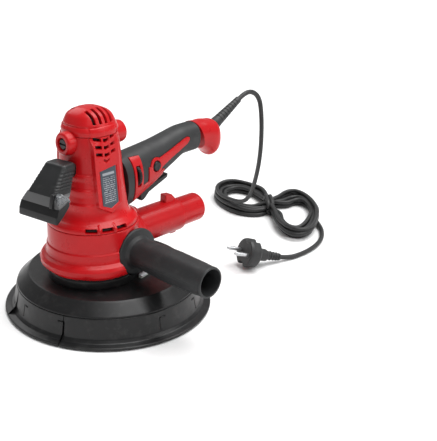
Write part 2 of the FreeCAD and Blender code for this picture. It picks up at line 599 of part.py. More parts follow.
def make_lamp():
    hood = lamp_block("lamp_hood", 150.0, (69, 53, 18), 177.0, (52, 38, 12))
    brow = lamp_block("lamp_brow", 141.2, (74.5, 57, 25.6), 150.0, (69, 53, 18))
    hollow = lamp_block("lamp_hollow", 143.0, (69, 59, 20), 172.0, (49, 42, 9))
    window_gap = extruded("lamp_window_gap", [
        ("-77", "157.6"), ("-58", "157.6"), ("-54", "141"), ("-77", "141")], "60", at=MOTOR, turn=LAMP_TURN)
    inner_core = extruded("lamp_inner_core", [
        ("-78", "158"), ("-53", "158"), ("-53", "140.5"), ("-78", "140.5")], "33", at=MOTOR, turn=LAMP_TURN)
    front_core = extruded("lamp_front_core", [
        ("-78", "158"), ("-70.5", "158"), ("-70.5", "140.5"), ("-78", "140.5")], "60", at=MOTOR, turn=LAMP_TURN)
    piece("lamp_shell", cut("lamp_shell_cut", join("lamp_shell_join", hood, brow), hollow, cut(
        "lamp_window_space", window_gap, inner_core, front_core)))
    base = extruded("lamp_base_body", [
        ("-74.3", "141"), ("-57", "141"), ("-58.6", "138.5"), ("-68", "132"), ("-79", "125.2"), ("-78.2", "134")],
        "52", at=MOTOR, turn=LAMP_TURN)
    base_hollow = extruded("lamp_base_hollow", [
        ("-72", "138.5"), ("-63", "138.5"), ("-68", "134.8"), ("-76", "129.9"), ("-75.6", "133.5")],
        "44", at=MOTOR, turn=LAMP_TURN)
    piece("lamp_base", cut("lamp_base_cut", base, base_hollow))
    piece("lamp_board", extruded("lamp_board_body", [
        ("-74", "134.2"), ("-68", "137.6"), ("-68", "136.4"), ("-74", "133")], "38", at=MOTOR, turn=LAMP_TURN))
    clearance = turned("lamp_clearance", [("0", "case_foot - 5")] + [
        (radius + " + 0.3", height) for radius, height in CASE_OUTSIDE] + [("0", "case_top")], at=MOTOR)
    neck = extruded("lamp_neck_body", [
        ("-45", "173"), ("-30", "173"), ("-30", "160"), ("-45", "160")], "15", at=MOTOR, turn=LAMP_TURN)
    hood_space = lamp_block("lamp_hood_space", 149.8, (69.4, 52.6, 18.4), 177.4, (52.4, 37.6, 12.4))
    piece("lamp_bracket", cut("lamp_neck_cut", neck, clearance, hood_space))
    pane = extruded("lamp_pane_outside", [
        ("-70.2", "157"), ("-67", "157.2"), ("-59.5", "150"), ("-57.5", "145"), ("-58.5", "141.4"),
        ("-70.2", "141.4")], "46", at=MOTOR, turn=LAMP_TURN)
    middle = extruded("lamp_pane_middle", [
        ("-80", "160"), ("-50", "160"), ("-50", "140"), ("-80", "140")], "42", at=MOTOR, turn=LAMP_TURN)
    shell_space = lamp_block("lamp_pane_space", 150.0, (69.2, 52.8, 18.2), 177.2, (52.2, 37.8, 12.2))
    piece("lamp_lens", cut("lens_cut", pane, middle, shell_space))


# ---------------------------------------------------------------- cord
CORD_DROP = [(209.9, 0, 192.7), (223.1, 0, 199.7), (237.9, -1, 197.6), (248, -2, 187.5), (252, -2.5, 171),
             (256, -1.5, 149), (263.5, 4, 121), (273.5, 14, 92), (286, 29, 62.5), (300, 45, 38), (309, 56, 19.5)]
CORD_TAIL = [(359, -18, 8), (351, -33, 4), (337, -49.5, 3), (318, -63.5, 3), (296, -73.5, 3), (272, -78, 3),
             (250, -78, 3), (232, -75, 3.4), (219.1, -69.8, 6.5)]


def cord_path(points):
    """Wire of straight runs joined by tangent arcs, each as large as its two runs allow."""
    spots = [FreeCAD.Vector(*point) for point in points]
    edges = []
    last = spots[0]
    radii = []
    for before, here, after in zip(spots, spots[1:], spots[2:]):
        into = (here - before).normalize()
        out = (after - here).normalize()
        turn = into.getAngle(out)
        trim = 0.45 * min((here - before).Length, (after - here).Length)
        radius = trim / math.tan(turn / 2)
        radii.append(round(radius, 1))
        start = here - into * trim
        end = here + out * trim
        middle_way = (out - into).normalize()
        middle = here + middle_way * (radius / math.cos(turn / 2) - radius)
        edges.append(Part.LineSegment(last, start).toShape())
        edges.append(Part.Arc(start, middle, end).toShape())
        last = end
    edges.append(Part.LineSegment(last, spots[-1]).toShape())
    print("cord arc radii", radii)
    return Part.Wire(edges)


def cord_tube(node, points):
    wire = cord_path(points)
    first = FreeCAD.Vector(*points[0])
    direction = FreeCAD.Vector(*points[1]) - first
    ring = Part.Wire([Part.makeCircle(VALUE["cord_radius"], first, direction)])
    tube = wire.makePipeShell([ring], True, False)
    wanted = math.pi * VALUE["cord_radius"] ** 2 * wire.Length
    print(node, "length", round(wire.Length, 1), "volume ratio", round(tube.Volume / wanted, 4))
    item = doc.addObject("Part::Feature", node)
    item.Shape = tube
    return piece(node, item)


def make_cord():
    cord_tube("power_cord", CORD_DROP)
    cord_tube("cord_tail", CORD_TAIL)
    lobe_far = doc.addObject("Part::Ellipse", "lobe_far")
    lobe_near = doc.addObject("Part::Ellipse", "lobe_near")
    lobes = []
    for item, across, along, spot, heading in ((lobe_far, 46, 64, (346, 97), 62),
                                               (lobe_near, 40, 88, (351, 0), 36)):
        item.MajorRadius = along
        item.MinorRadius = across
        item.Placement = FreeCAD.Placement(FreeCAD.Vector(*spot, 0.3), FreeCAD.Rotation(Z_AXIS, heading))
        lobe = doc.addObject("Part::Extrusion", item.Name + "_solid")
        lobe.Base = item
        lobe.DirMode = "Custom"
        lobe.Dir = Z_AXIS
        lobe.Solid = True
        bind(lobe, LengthFwd="hank_height - 0.3")
        lobes.append(lobe)
    piece("cord_hank", join("hank_join", *lobes))
    tie = block("tie_block", "34", "12", "2", ("338.5", "32.6", "hank_height + 0.1"), FreeCAD.Rotation(Z_AXIS, 46))
    piece("cord_tie", tie)


PLUG_SPOT = FreeCAD.Vector(180, -54, 19)
PLUG_AIM = FreeCAD.Vector(-0.889, 0.359, 0.284)
PLUG_ACROSS = FreeCAD.Vector(0.375, 0.927, 0)
PLUG_TURN = FreeCAD.Rotation(PLUG_ACROSS, FreeCAD.Vector(), PLUG_AIM, "ZXY")


def make_plug():
    body = turned("plug_outside", [
        ("0", "-44"), ("4.4", "-44"), ("5.2", "-24"), ("8.5", "-22"), ("11.5", "-12"), ("plug_radius - 1.5", "-8"),
        ("plug_radius", "-5"), ("plug_radius", "7"), ("plug_radius - 1.2", "8.4"), ("0", "8.4")])
    body.Placement = FreeCAD.Placement(PLUG_SPOT, PLUG_TURN)
    for key in "xyz":
        body.setExpression("Placement.Base." + key, None)
    piece("plug_body", body)
    pins = []
    for side in (-1, 1):
        pin = doc.addObject("Part::Cylinder", "plug_pin_%s" % ("left" if side < 0 else "right"))
        bind(pin, Radius="pin_radius")
        pin.Height = 19.0
        spot = PLUG_TURN.multVec(FreeCAD.Vector(side * VALUE["pin_half"], 0, 8.5))
        pin.Placement = FreeCAD.Placement(PLUG_SPOT + spot, PLUG_TURN)
        pins.append(pin)
    piece("plug_pins", join("pin_pair", *pins))


make_pad()
make_shroud()
make_gearbox()
make_motor_case()
make_top_cap()
make_motor_inside()
make_handle()
make_side_handle()
make_dust_pipe()
make_lamp()
make_cord()
make_plug()
doc.recompute()

faults = [item.Name for item in doc.Objects if "Invalid" in item.State or "Error" in item.State]
for node, item in pieces.items():
    shape = item.Shape
    if shape.isNull() or not shape.isValid() or not shape.Solids:
        faults.append(node)
if faults:
    raise RuntimeError("failed: " + ", ".join(faults))
for node, item in pieces.items():
    item.Shape.exportStep("parts/%s.step" % node)
    box = item.Shape.BoundBox
    print("%-20s %d solids %9.0f mm3  x %.1f..%.1f  y %.1f..%.1f  z %.1f..%.1f" % (
        node, len(item.Shape.Solids), item.Shape.Volume, box.XMin, box.XMax, box.YMin, box.YMax, box.ZMin, box.ZMax))
print(len(pieces), "nodes")
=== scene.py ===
import json
import math

import bmesh
import bpy
import numpy as np
from bpy.props import FloatProperty, FloatVectorProperty, IntProperty, PointerProperty
from bpy.types import Operator, Panel, PropertyGroup
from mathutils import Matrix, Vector

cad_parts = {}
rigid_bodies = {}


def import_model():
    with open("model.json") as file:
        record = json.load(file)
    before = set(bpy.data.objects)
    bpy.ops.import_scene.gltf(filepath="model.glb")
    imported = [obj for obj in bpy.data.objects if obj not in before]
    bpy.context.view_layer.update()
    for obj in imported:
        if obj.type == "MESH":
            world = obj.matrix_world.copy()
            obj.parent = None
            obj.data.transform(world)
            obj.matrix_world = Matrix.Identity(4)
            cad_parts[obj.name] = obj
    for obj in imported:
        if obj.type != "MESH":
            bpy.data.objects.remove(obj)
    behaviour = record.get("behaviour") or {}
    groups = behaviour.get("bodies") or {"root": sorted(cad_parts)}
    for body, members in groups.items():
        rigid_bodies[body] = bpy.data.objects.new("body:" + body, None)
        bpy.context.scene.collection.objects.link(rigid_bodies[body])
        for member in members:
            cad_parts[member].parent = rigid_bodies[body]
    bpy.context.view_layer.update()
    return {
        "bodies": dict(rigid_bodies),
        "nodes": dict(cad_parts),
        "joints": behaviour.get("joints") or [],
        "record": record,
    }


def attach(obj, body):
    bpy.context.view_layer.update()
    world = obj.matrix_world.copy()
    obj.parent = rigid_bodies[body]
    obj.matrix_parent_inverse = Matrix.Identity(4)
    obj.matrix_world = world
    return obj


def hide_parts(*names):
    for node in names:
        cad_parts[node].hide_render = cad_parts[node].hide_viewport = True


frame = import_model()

bl_info = {
    "name": "Drywall Sander",
    "version": (1, 0, 0),
    "blender": (4, 5, 0),
    "location": "View3D > Sidebar > Sander",
    "description": "Builds the visible pieces of a hand-held drywall sander round its packed frame",
    "category": "Object",
}

MM = 0.001
MOTOR_X = -19.6      # motor axis, mm from the spindle axis
HOUSE_X = -19.0      # gear housing axis
LABEL_X = -22.6      # centre of the label panel
SIDE_Z = 75.0        # side handle axis
PIPE_Z = 76.0        # dust pipe axis
BRUSH_Z = 191.5      # carbon brush axis


# ------------------------------------------------------------------ settings
class SanderSizes(PropertyGroup):
    """Sizes a user would change, in millimetres."""
    vent_width: FloatProperty(name="Vent width", description="Height of one chevron vent", default=3.0,
                              min=1.0, max=6.0)
    vent_depth: FloatProperty(name="Vent depth", description="Depth of the vents", default=4.0, min=0.5,
                              max=8.0)
    cord_width: FloatProperty(name="Cord diameter", description="Outside diameter of the mains cord",
                              default=5.8, min=3.0, max=10.0)
    hank_turns: IntProperty(name="Hank turns", description="Turns of cord in the tied hank", default=7,
                            min=2, max=10)


class SanderColours(PropertyGroup):
    """Colours of the finishes, linear."""
    red: FloatVectorProperty(name="Red housing", description="Glossy moulded housing", subtype="COLOR",
                             default=(0.50, 0.006, 0.009))
    charcoal: FloatVectorProperty(name="Charcoal grip", description="Soft overmoulded grip", subtype="COLOR",
                                  default=(0.022, 0.023, 0.024))
    black: FloatVectorProperty(name="Black shroud", description="Satin moulded shroud", subtype="COLOR",
                               default=(0.0085, 0.0085, 0.009))
    cord: FloatVectorProperty(name="Mains cord", description="Sheath of the cord", subtype="COLOR",
                              default=(0.026, 0.0265, 0.027))
    label: FloatVectorProperty(name="Label", description="Printed film on the name plate", subtype="COLOR",
                               default=(0.035, 0.048, 0.066))
    abrasive: FloatVectorProperty(name="Abrasive", description="Grit of the sanding disc", subtype="COLOR",
                                  default=(0.13, 0.035, 0.032))


def sizes():
    return bpy.context.scene.sander_sizes


def colours():
    return bpy.context.scene.sander_colours


# ------------------------------------------------------------------ surfaces
def step(low, high, value):
    """Smooth step: 0 below low, 1 above high, 3t^2 - 2t^3 between."""
    t = np.clip((value - low) / (high - low), 0.0, 1.0)
    return t * t * (3 - 2 * t)


def band(value, centre, half, soft):
    """1 where value is within half of centre, falling to 0 over the distance soft."""
    return 1 - step(half - soft / 2, half + soft / 2, np.abs(value - centre))


def smooth_curve(keys, values, t):
    """Cubic Hermite curve through (key, value) pairs, with slopes held flat at turning points."""
    keys = np.asarray(keys, float)
    values = np.asarray(values, float)
    runs = np.diff(values) / np.diff(keys)
    slopes = np.zeros_like(values)
    same = runs[:-1] * runs[1:] > 0
    slopes[1:-1] = np.where(same, 2 * runs[:-1] * runs[1:] / np.where(same, runs[:-1] + runs[1:], 1), 0)
    slopes[0], slopes[-1] = runs[0], runs[-1]
    index = np.clip(np.searchsorted(keys, t, side="right") - 1, 0, len(keys) - 2)
    gap = keys[index + 1] - keys[index]
    u = (t - keys[index]) / gap
    return ((2 * u ** 3 - 3 * u ** 2 + 1) * values[index] + (u ** 3 - 2 * u ** 2 + u) * gap * slopes[index]
            + (3 * u ** 2 - 2 * u ** 3) * values[index + 1] + (u ** 3 - u ** 2) * gap * slopes[index + 1])


def soft_outline(corners, per_corner=6, per_run=1, closed=True):
    """Outline whose corners (x, y, radius) become tangent arcs, as one array of points."""
    count = len(corners)
    spots = np.array([corner[:2] for corner in corners], float)
    points = []
    for index in range(count):
        here = spots[index]
        radius = corners[index][2] if len(corners[index]) > 2 else 0.0
        if not closed and index in (0, count - 1) or radius <= 0:
            points.append(here[None])
            continue
        before = spots[index - 1] - here
        after = spots[(index + 1) % count] - here
        reach_in, reach_out = np.linalg.norm(before), np.linalg.norm(after)
        before, after = before / reach_in, after / reach_out
        half = math.acos(float(np.clip(before @ after, -0.9999, 0.9999))) / 2
        trim = min(radius / math.tan(half), 0.49 * reach_in, 0.49 * reach_out)
        t = np.linspace(0, 1, per_corner)[:, None]
        start, end = here + before * trim, here + after * trim
        weight = math.sin(half)
        top = (1 - t) ** 2 * start + 2 * weight * t * (1 - t) * here + t ** 2 * end
        points.append(top / ((1 - t) ** 2 + 2 * weight * t * (1 - t) + t ** 2))
    outline = np.concatenate(points)
    if per_run > 1:
        follow = np.roll(outline, -1, 0) if closed else outline[1:]
        start = outline if closed else outline[:-1]
        t = np.arange(per_run)[None, :, None] / per_run
        outline = (start[:, None] * (1 - t) + follow[:, None] * t).reshape(-1, 2)
    return outline


def resample(outline, spacing):
    """The same open or closed line with extra points, so that no run is longer than spacing."""
    parts = []
    for a, b in zip(outline[:-1], outline[1:]):
        count = max(1, int(np.ceil(np.linalg.norm(b - a) / spacing)))
        parts.append(a + (b - a) * (np.arange(count) / count)[:, None])
    parts.append(outline[-1:])
    return np.concatenate(parts)


def build(name, grids, mat, body, replaced=(), angle=32, attribute=None):
    """One mesh object from grids (points u by v by 3 in mm, wrap_u, wrap_v), doubles merged, facing out."""
    verts, quads, extra = [], [], []
    base = 0
    for grid in grids:
        points, wrap_u, wrap_v = grid[:3]
        rows, columns = points.shape[:2]
        ids = np.arange(rows * columns).reshape(rows, columns) + base
        if wrap_u:
            ids = np.concatenate([ids, ids[:1]], 0)
        if wrap_v:
            ids = np.concatenate([ids, ids[:, :1]], 1)
        quads.append(np.stack([ids[:-1, :-1], ids[1:, :-1], ids[1:, 1:], ids[:-1, 1:]], -1).reshape(-1, 4))
        verts.append(points.reshape(-1, 3))
        extra.append(grid[3].reshape(-1) if len(grid) > 3 else np.zeros(rows * columns))
        base += rows * columns
    verts = np.concatenate(verts) * MM
    quads = np.concatenate(quads)
    mesh = bpy.data.meshes.new(name)
    mesh.vertices.add(len(verts))
    mesh.vertices.foreach_set("co", verts.astype(np.float32).ravel())
    mesh.loops.add(quads.size)
    mesh.loops.foreach_set("vertex_index", quads.astype(np.int32).ravel())
    mesh.polygons.add(len(quads))
    mesh.polygons.foreach_set("loop_start", np.arange(0, quads.size, 4, dtype=np.int32))
    mesh.update(calc_edges=True)
    if attribute:
        layer = mesh.attributes.new(attribute, "FLOAT", "POINT")
        layer.data.foreach_set("value", np.concatenate(extra).astype(np.float32))
    work = bmesh.new()
    work.from_mesh(mesh)
    bmesh.ops.remove_doubles(work, verts=work.verts, dist=2e-6)
    bmesh.ops.dissolve_degenerate(work, edges=work.edges, dist=1e-6)
    bmesh.ops.recalc_face_normals(work, faces=work.faces)
    work.to_mesh(mesh)
    work.free()
    mesh.shade_smooth()
    mesh.set_sharp_from_angle(angle=math.radians(angle))
    piece = bpy.data.objects.new(name, mesh)
    bpy.context.scene.collection.objects.link(piece)
    mesh.materials.append(mat)
    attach(piece, body)
    if replaced:
        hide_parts(*replaced)
    return piece


def about(points, origin, along="z"):
    """Turns points given about +Z (x, y, z) so that +Z lies along another axis, then moves them."""
    x, y, z = points[..., 0], points[..., 1], points[..., 2]
    turned = {"z": (x, y, z), "x": (z, x, y), "-x": (-z, -x, y), "-y": (x, -z, y), "y": (x, z, -y)}[along]
    return np.stack(turned, -1) + np.asarray(origin, float)


def lathe(outline, origin=(0, 0, 0), along="z", count=128, start=0.0, sweep=360.0, ripple=None):
    """Outline (radius, height) turned about an axis: x = r cos a, y = r sin a, z = height."""
    full = sweep >= 360.0
    angles = np.radians(start) + np.radians(sweep) * np.arange(count + (0 if full else 1)) / count
    around, up = angles[:, None], outline[None, :, 1]
    radius = outline[None, :, 0] + (ripple(around, up) if ripple else 0 * around)
    height = np.broadcast_to(outline[None, :, 1], radius.shape)
    points = np.stack([radius * np.cos(angles[:, None]), radius * np.sin(angles[:, None]), height], -1)
    return about(points, origin, along), full


def closed_lathe(outline, origin=(0, 0, 0), along="z", count=128, start=0.0, sweep=360.0, ripple=None):
    """Solid of revolution of a closed outline; a part turn is closed by flat end faces."""
    points, full = lathe(outline, origin, along, count, start, sweep, ripple)
    grids = [(points, full, True)]
    if not full:
        for end in (points[0], points[-1]):
            grids.append(end_face(end))
    return grids


def end_face(ring):
    """Fills a closed ring of points by shrinking it to its middle, p = middle + s (ring - middle)."""
    middle = ring.mean(0)
    scale = np.array([1.0, 0.5, 0.0])[:, None, None]
    return (middle + scale * (ring[None] - middle), False, True)


def skin(rings, close_ends=True):
    """Surface through a list of rings (n by 3 points), closed at both ends by shrinking the end rings."""
    rings = np.asarray(rings, float)
    if close_ends:
        def shrink(ring, toward):
            middle = ring.mean(0)
            return [middle + k * (ring - middle) for k in toward]
        rings = np.concatenate([shrink(rings[0], (0.0, 0.5)), rings, shrink(rings[-1], (0.5, 0.0))])
    return (rings, False, True)


# ------------------------------------------------------------------ materials
class Nodes:
    """Small helper that adds and links shader nodes."""

    def __init__(self, name):
        self.mat = bpy.data.materials.new(name)
        self.mat.use_nodes = True
        self.tree = self.mat.node_tree
        self.shader = self.tree.nodes["Principled BSDF"]
        self.place = self.add("ShaderNodeTexCoord").outputs["Object"]

    def add(self, kind, **settings):
        node = self.tree.nodes.new(kind)
        for key, value in settings.items():
            setattr(node, key, value)
        return node

    def link(self, source, target):
        self.tree.links.new(source, target)

    def feed(self, socket, value):
        if isinstance(value, bpy.types.NodeSocket):
            self.link(value, socket)
        else:
            socket.default_value = value

    def maths(self, operation, a, b=0.0, c=0.0):
        node = self.add("ShaderNodeMath", operation=operation)
        for socket, value in zip(node.inputs, (a, b, c)):
            self.feed(socket, value)
        return node.outputs[0]

    def noise(self, scale, detail=3.0, rough=0.55, where=None):
        node = self.add("ShaderNodeTexNoise")
        node.inputs["Scale"].default_value = scale
        node.inputs["Detail"].default_value = detail
        node.inputs["Roughness"].default_value = rough
        self.link(where or self.place, node.inputs["Vector"])
        return node.outputs["Fac"]

    def span(self, value, low, high, out_low, out_high):
        node = self.add("ShaderNodeMapRange")
        for socket, item in zip(node.inputs[:5], (value, low, high, out_low, out_high)):
            self.feed(socket, item)
        return node.outputs["Result"]

    def mix(self, amount, first, second):
        node = self.add("ShaderNodeMix", data_type="RGBA")
        self.feed(node.inputs["Factor"], amount)
        for socket, value in ((node.inputs[6], first), (node.inputs[7], second)):
            if isinstance(value, bpy.types.NodeSocket):
                self.link(value, socket)
            else:
                socket.default_value = (*value, 1.0)
        return node.outputs[2]

    def bump(self, height, distance, strength=1.0, after=None):
        node = self.add("ShaderNodeBump")
        node.inputs["Strength"].default_value = strength
        node.inputs["Distance"].default_value = distance
        self.link(height, node.inputs["Height"])
        if after is not None:
            self.link(after, node.inputs["Normal"])
        return node.outputs["Normal"]

    def set(self, **values):
        for key, value in values.items():
            self.feed(self.shader.inputs[key.replace("_", " ")], value)


def shade(colour, factor):
    return tuple(min(1.0, channel * factor) for channel in colour)


def moulded(name, colour, rough, grain_scale, grain_depth, spread=0.06, coat=0.0, dust=0.0, recess=None,
            shine=0.36):
    """Moulded plastic: soft colour drift, uneven gloss and a spark-eroded grain, with painted shade inside
    recesses.
    """
    kit = Nodes(name)
    drift = kit.noise(28.0, 4.0)
    base = kit.mix(kit.span(drift, 0.3, 0.7, 0.0, 1.0), shade(colour, 0.9), shade(colour, 1.08))
    if dust:
        film = kit.span(kit.noise(90.0, 6.0, 0.65), 0.52, 0.75, 0.0, dust)
        base = kit.mix(film, base, (0.32, 0.31, 0.30))
    # painted shade: where the recess attribute is set, the colour is mixed down to near black
    if recess:
        depth = kit.add("ShaderNodeAttribute", attribute_name=recess).outputs["Fac"]
        base = kit.mix(depth, base, shade(colour, 0.03))
    kit.set(Base_Color=base, Roughness=kit.span(kit.noise(60.0, 5.0, 0.6), 0.3, 0.7, rough - spread,
                                                rough + spread))
    kit.set(Normal=kit.bump(kit.noise(grain_scale, 2.0), grain_depth, 0.6))
    kit.shader.inputs["Coat Weight"].default_value = coat
    kit.shader.inputs["Coat Roughness"].default_value = 0.18
    kit.shader.inputs["IOR"].default_value = 1.5
    kit.shader.inputs["Specular IOR Level"].default_value = shine
    return kit.mat


def metal(name, colour, rough, lines=(0.0, 0.0, 900.0), depth=2e-5):
    """Ground or cast metal: fine scratches stretched along the named axis and uneven gloss."""
    kit = Nodes(name)
    stretch = kit.add("ShaderNodeMapping")
    stretch.inputs["Scale"].default_value = tuple(40.0 + value for value in lines)
    kit.link(kit.place, stretch.inputs["Vector"])
    scratch = kit.noise(6.0, 3.0, 0.6, stretch.outputs["Vector"])
    kit.set(Base_Color=kit.mix(scratch, shade(colour, 0.85), shade(colour, 1.1)), Roughness=kit.span(
        scratch, 0.2, 0.8, rough - 0.07, rough + 0.07), Normal=kit.bump(scratch, depth, 0.5))
    kit.shader.inputs["Metallic"].default_value = 1.0
    return kit.mat


def clear_plastic(name, tint, through):
    """Clear moulded lens: part transmission, faint grey tint and fine flow marks."""
    kit = Nodes(name)
    flow = kit.noise(180.0, 3.0)
    kit.set(Base_Color=kit.mix(flow, tint, shade(tint, 1.2)), Roughness=kit.span(
        flow, 0.3, 0.7, 0.06, 0.14), Normal=kit.bump(flow, 4e-5, 0.4))
    kit.shader.inputs["Transmission Weight"].default_value = through
    kit.shader.inputs["IOR"].default_value = 1.49
    return kit.mat


def label_film(name, colour):
    """Printed film: slate ground with rows of plain silver dashes of uneven length, no writing."""
    kit = Nodes(name)
    split = kit.add("ShaderNodeSeparateXYZ")
    kit.link(kit.place, split.inputs[0])
    across, up = split.outputs["X"], split.outputs["Z"]
    row = kit.maths("MULTIPLY", up, 1 / 0.0021)
    line = kit.maths("LESS_THAN", kit.maths("FRACT", row), 0.42)
    where = kit.add("ShaderNodeCombineXYZ")
    kit.link(kit.maths("MULTIPLY", across, 900.0), where.inputs[0])
    kit.link(kit.maths("FLOOR", row), where.inputs[2])
    words = kit.maths("GREATER_THAN", kit.noise(1.3, 1.0, 0.5, where.outputs[0]), 0.47)
    inside = kit.maths("MULTIPLY", kit.maths("GREATER_THAN", across, (LABEL_X - 7.6) * MM), kit.maths(
        "LESS_THAN", across, (LABEL_X + 7.6) * MM))
    body = kit.maths("MULTIPLY", kit.maths("GREATER_THAN", up, 0.131), kit.maths("LESS_THAN", up, 0.158))
    ink = kit.maths("MULTIPLY", kit.maths("MULTIPLY", line, words), kit.maths("MULTIPLY", inside, body))
    bar = kit.maths("MULTIPLY", inside, kit.maths("MULTIPLY", kit.maths("GREATER_THAN", up, 0.1602),
                                                  kit.maths(
        "LESS_THAN", up, 0.1628)))
    ink = kit.maths("MAXIMUM", ink, kit.maths("MULTIPLY", bar, 0.8))
    grain = kit.noise(2500.0, 2.0)
    kit.set(Base_Color=kit.mix(kit.maths("MULTIPLY", ink, 0.8), colour, (0.42, 0.44, 0.47)),
            Roughness=kit.span(
        grain, 0.3, 0.7, 0.28, 0.4), Normal=kit.bump(grain, 1e-5, 0.4))
    return kit.mat


def abrasive(name, colour):
    """Sandpaper: packed grit as fine cells, with a painted highlight on the crystal tips and painted shade
    between the grains.
    """
    kit = Nodes(name)
    cells = kit.add("ShaderNodeTexVoronoi")
    cells.inputs["Scale"].default_value = 2600.0
    kit.link(kit.place, cells.inputs["Vector"])
    grit = cells.outputs["Distance"]
    kit.set(Base_Color=kit.mix(kit.span(grit, 0.0, 0.8, 0.0, 1.0), shade(colour, 1.5), shade(colour, 0.7)),
            Normal=kit.bump(grit, 1.2e-4, 0.9), Roughness=kit.span(grit, 0.0, 0.8, 0.6, 0.95))
    return kit.mat


def foam(name, colour):
    """Open-cell foam: pits of two sizes, coloured darker inside as painted shade."""
    kit = Nodes(name)
    cells = kit.add("ShaderNodeTexVoronoi")
    cells.inputs["Scale"].default_value = 900.0
    kit.link(kit.place, cells.inputs["Vector"])
    pits = cells.outputs["Distance"]
    kit.set(Base_Color=kit.mix(kit.span(pits, 0.0, 0.6, 0.0, 1.0), shade(colour, 0.4), shade(colour, 1.4)),
            Normal=kit.bump(pits, 2.5e-4, 0.9), Roughness=kit.span(pits, 0.0, 0.6, 0.8, 1.0))
    return kit.mat


MATERIALS = {}


def finish(name):
    """The material of that name, made once."""
    if name not in MATERIALS:
        MATERIALS[name] = FINISHES[name]()
    return MATERIALS[name]


# recess names the attribute that carries painted shade into vents, slots and holes
FINISHES = {
    "red": lambda: moulded("red_housing", colours().red, 0.30, 1500.0, 2.5e-5, 0.05, 0.06,
                           recess="recess", shine=0.24),
    "charcoal": lambda: moulded("charcoal_grip", colours().charcoal, 0.52, 1300.0, 7e-5, 0.06, dust=0.05,
                                recess="recess"),
    "black": lambda: moulded("black_shroud", colours().black, 0.34, 1800.0, 2.5e-5, 0.06, dust=0.06,
                             recess="recess"),
    "lamp": lambda: moulded("lamp_black", shade(colours().charcoal, 0.7), 0.42, 1300.0, 4e-5, 0.06, dust=0.05,
                            recess="recess"),
    "cord": lambda: moulded("cord_sheath", colours().cord, 0.46, 700.0, 6e-5, 0.06, dust=0.06),
    "knob": lambda: moulded("knob_black", shade(colours().black, 0.9), 0.38, 1400.0, 3e-5),
    "inside": lambda: moulded("inner_black", (0.03, 0.03, 0.032), 0.5, 900.0, 6e-5),
    "board": lambda: moulded("circuit_board", (0.62, 0.66, 0.60), 0.4, 700.0, 3e-5),
    # pale grey is a painted highlight for the sheen on the lamp's chamfer band
    "pale": lambda: moulded("lamp_band_painted_highlight", (0.085, 0.085, 0.087), 0.34, 900.0, 3e-5),
    "clear": lambda: clear_plastic("clear_lens", (0.36, 0.38, 0.40), 0.75),
    "ring": lambda: clear_plastic("ring_lens", (0.62, 0.64, 0.66), 0.25),
    "label": lambda: label_film("label_film", colours().label),
    "steel": lambda: metal("ground_steel", (0.56, 0.57, 0.58), 0.3),
    "cast": lambda: metal("die_cast", (0.48, 0.49, 0.50), 0.45, (0.0, 0.0, 0.0), 1e-4),
    "core": lambda: metal("laminated_steel", (0.20, 0.21, 0.22), 0.5, (0.0, 0.0, 2400.0), 8e-5),
    "copper": lambda: metal("enamelled_copper", (0.45, 0.17, 0.07), 0.35, (0.0, 0.0, 1500.0), 8e-5),
    "abrasive": lambda: abrasive("abrasive_grit", colours().abrasive),
    "foam": lambda: foam("pad_foam", (0.03, 0.03, 0.032)),
}

CAD_FINISH = {
    "steel": ["spindle", "pad_bolt", "armature_shaft", "spindle_bearings", "motor_bearings",
              "side_handle_stud",
              "trigger_pivot", "spindle_gear"],
    "core": ["armature_core", "stator_core"],
    "copper": ["field_coils", "commutator", "brush_holders"],
    "cast": ["lower_plate", "mid_plate"],
    "inside": ["switch_module", "capacitor", "carbon_brushes", "backing_plate", "fan"],
    "board": ["light_ring_board", "lamp_board", "speed_board"],
    "foam": ["foam_pad"],
    "abrasive": ["sanding_disc"],
}


# ------------------------------------------------------------------ stage, camera, lights
def make_stage():
    """Plain pale floor, soft studio light and the camera."""
    floor = bpy.data.meshes.new("floor")
    reach = 12.0
    floor.from_pydata([(-reach, -reach, 0), (reach, -reach, 0), (reach, reach, 0), (-reach, reach, 0)], [],
                      [(0, 1, 2, 3)])
    ground = bpy.data.objects.new("floor", floor)
    bpy.context.scene.collection.objects.link(ground)
    paper = Nodes("studio_paper")
    tone = paper.noise(3.0)
    paper.set(Base_Color=paper.mix(tone, (0.90, 0.90, 0.90), (0.92, 0.92, 0.92)))
    paper.shader.inputs["Roughness"].default_value = 0.9
    floor.materials.append(paper.mat)

    view = bpy.data.cameras.new("camera")
    view.sensor_fit = "HORIZONTAL"
    view.sensor_width = 36.0
    view.lens = 66.23
    view.shift_x = 0.1504
    view.shift_y = 0.0700
    eye = bpy.data.objects.new("camera", view)
    eye.location = (-0.5204, -0.6134, 0.4179)
    eye.rotation_euler = (math.radians(90 - 24.04), 0.0, math.radians(-43.85))
    bpy.context.scene.collection.objects.link(eye)
    bpy.context.scene.camera = eye

    world = bpy.data.worlds.new("studio")
    bpy.context.scene.world = world
    world.use_nodes = True
    world.node_tree.nodes["Background"].inputs["Color"].default_value = (1.0, 1.0, 1.0, 1.0)
    world.node_tree.nodes["Background"].inputs["Strength"].default_value = 0.32
    sky = bpy.data.lights.new("top_light", "SUN")
    sky.energy = 3.2
    sky.angle = math.radians(50.0)
    above = bpy.data.objects.new("top_light", sky)
    above.rotation_euler = Vector((-0.5, 0.25, -1.6)).to_track_quat("-Z", "Y").to_euler()
    bpy.context.scene.collection.objects.link(above)
    softbox("key_light", (-0.5, -0.9, 1.3), 0.8, 3.0)
    softbox("side_light", (0.7, -1.3, 0.9), 0.7, 5.0)
    softbox("back_light", (0.3, 1.4, 1.3), 1.0, 6.0)
    bpy.context.scene.view_settings.view_transform = "Standard"


def softbox(name, place, size, power):
    """Square area light aimed at the middle of the tool."""
    lamp = bpy.data.lights.new(name, "AREA")
    lamp.size = size
    lamp.energy = power
    item = bpy.data.objects.new(name, lamp)
    item.location = place
    aim = Vector((0.03, 0.0, 0.1)) - Vector(place)
    item.rotation_euler = aim.to_track_quat("-Z", "Y").to_euler()
    bpy.context.scene.collection.objects.link(item)


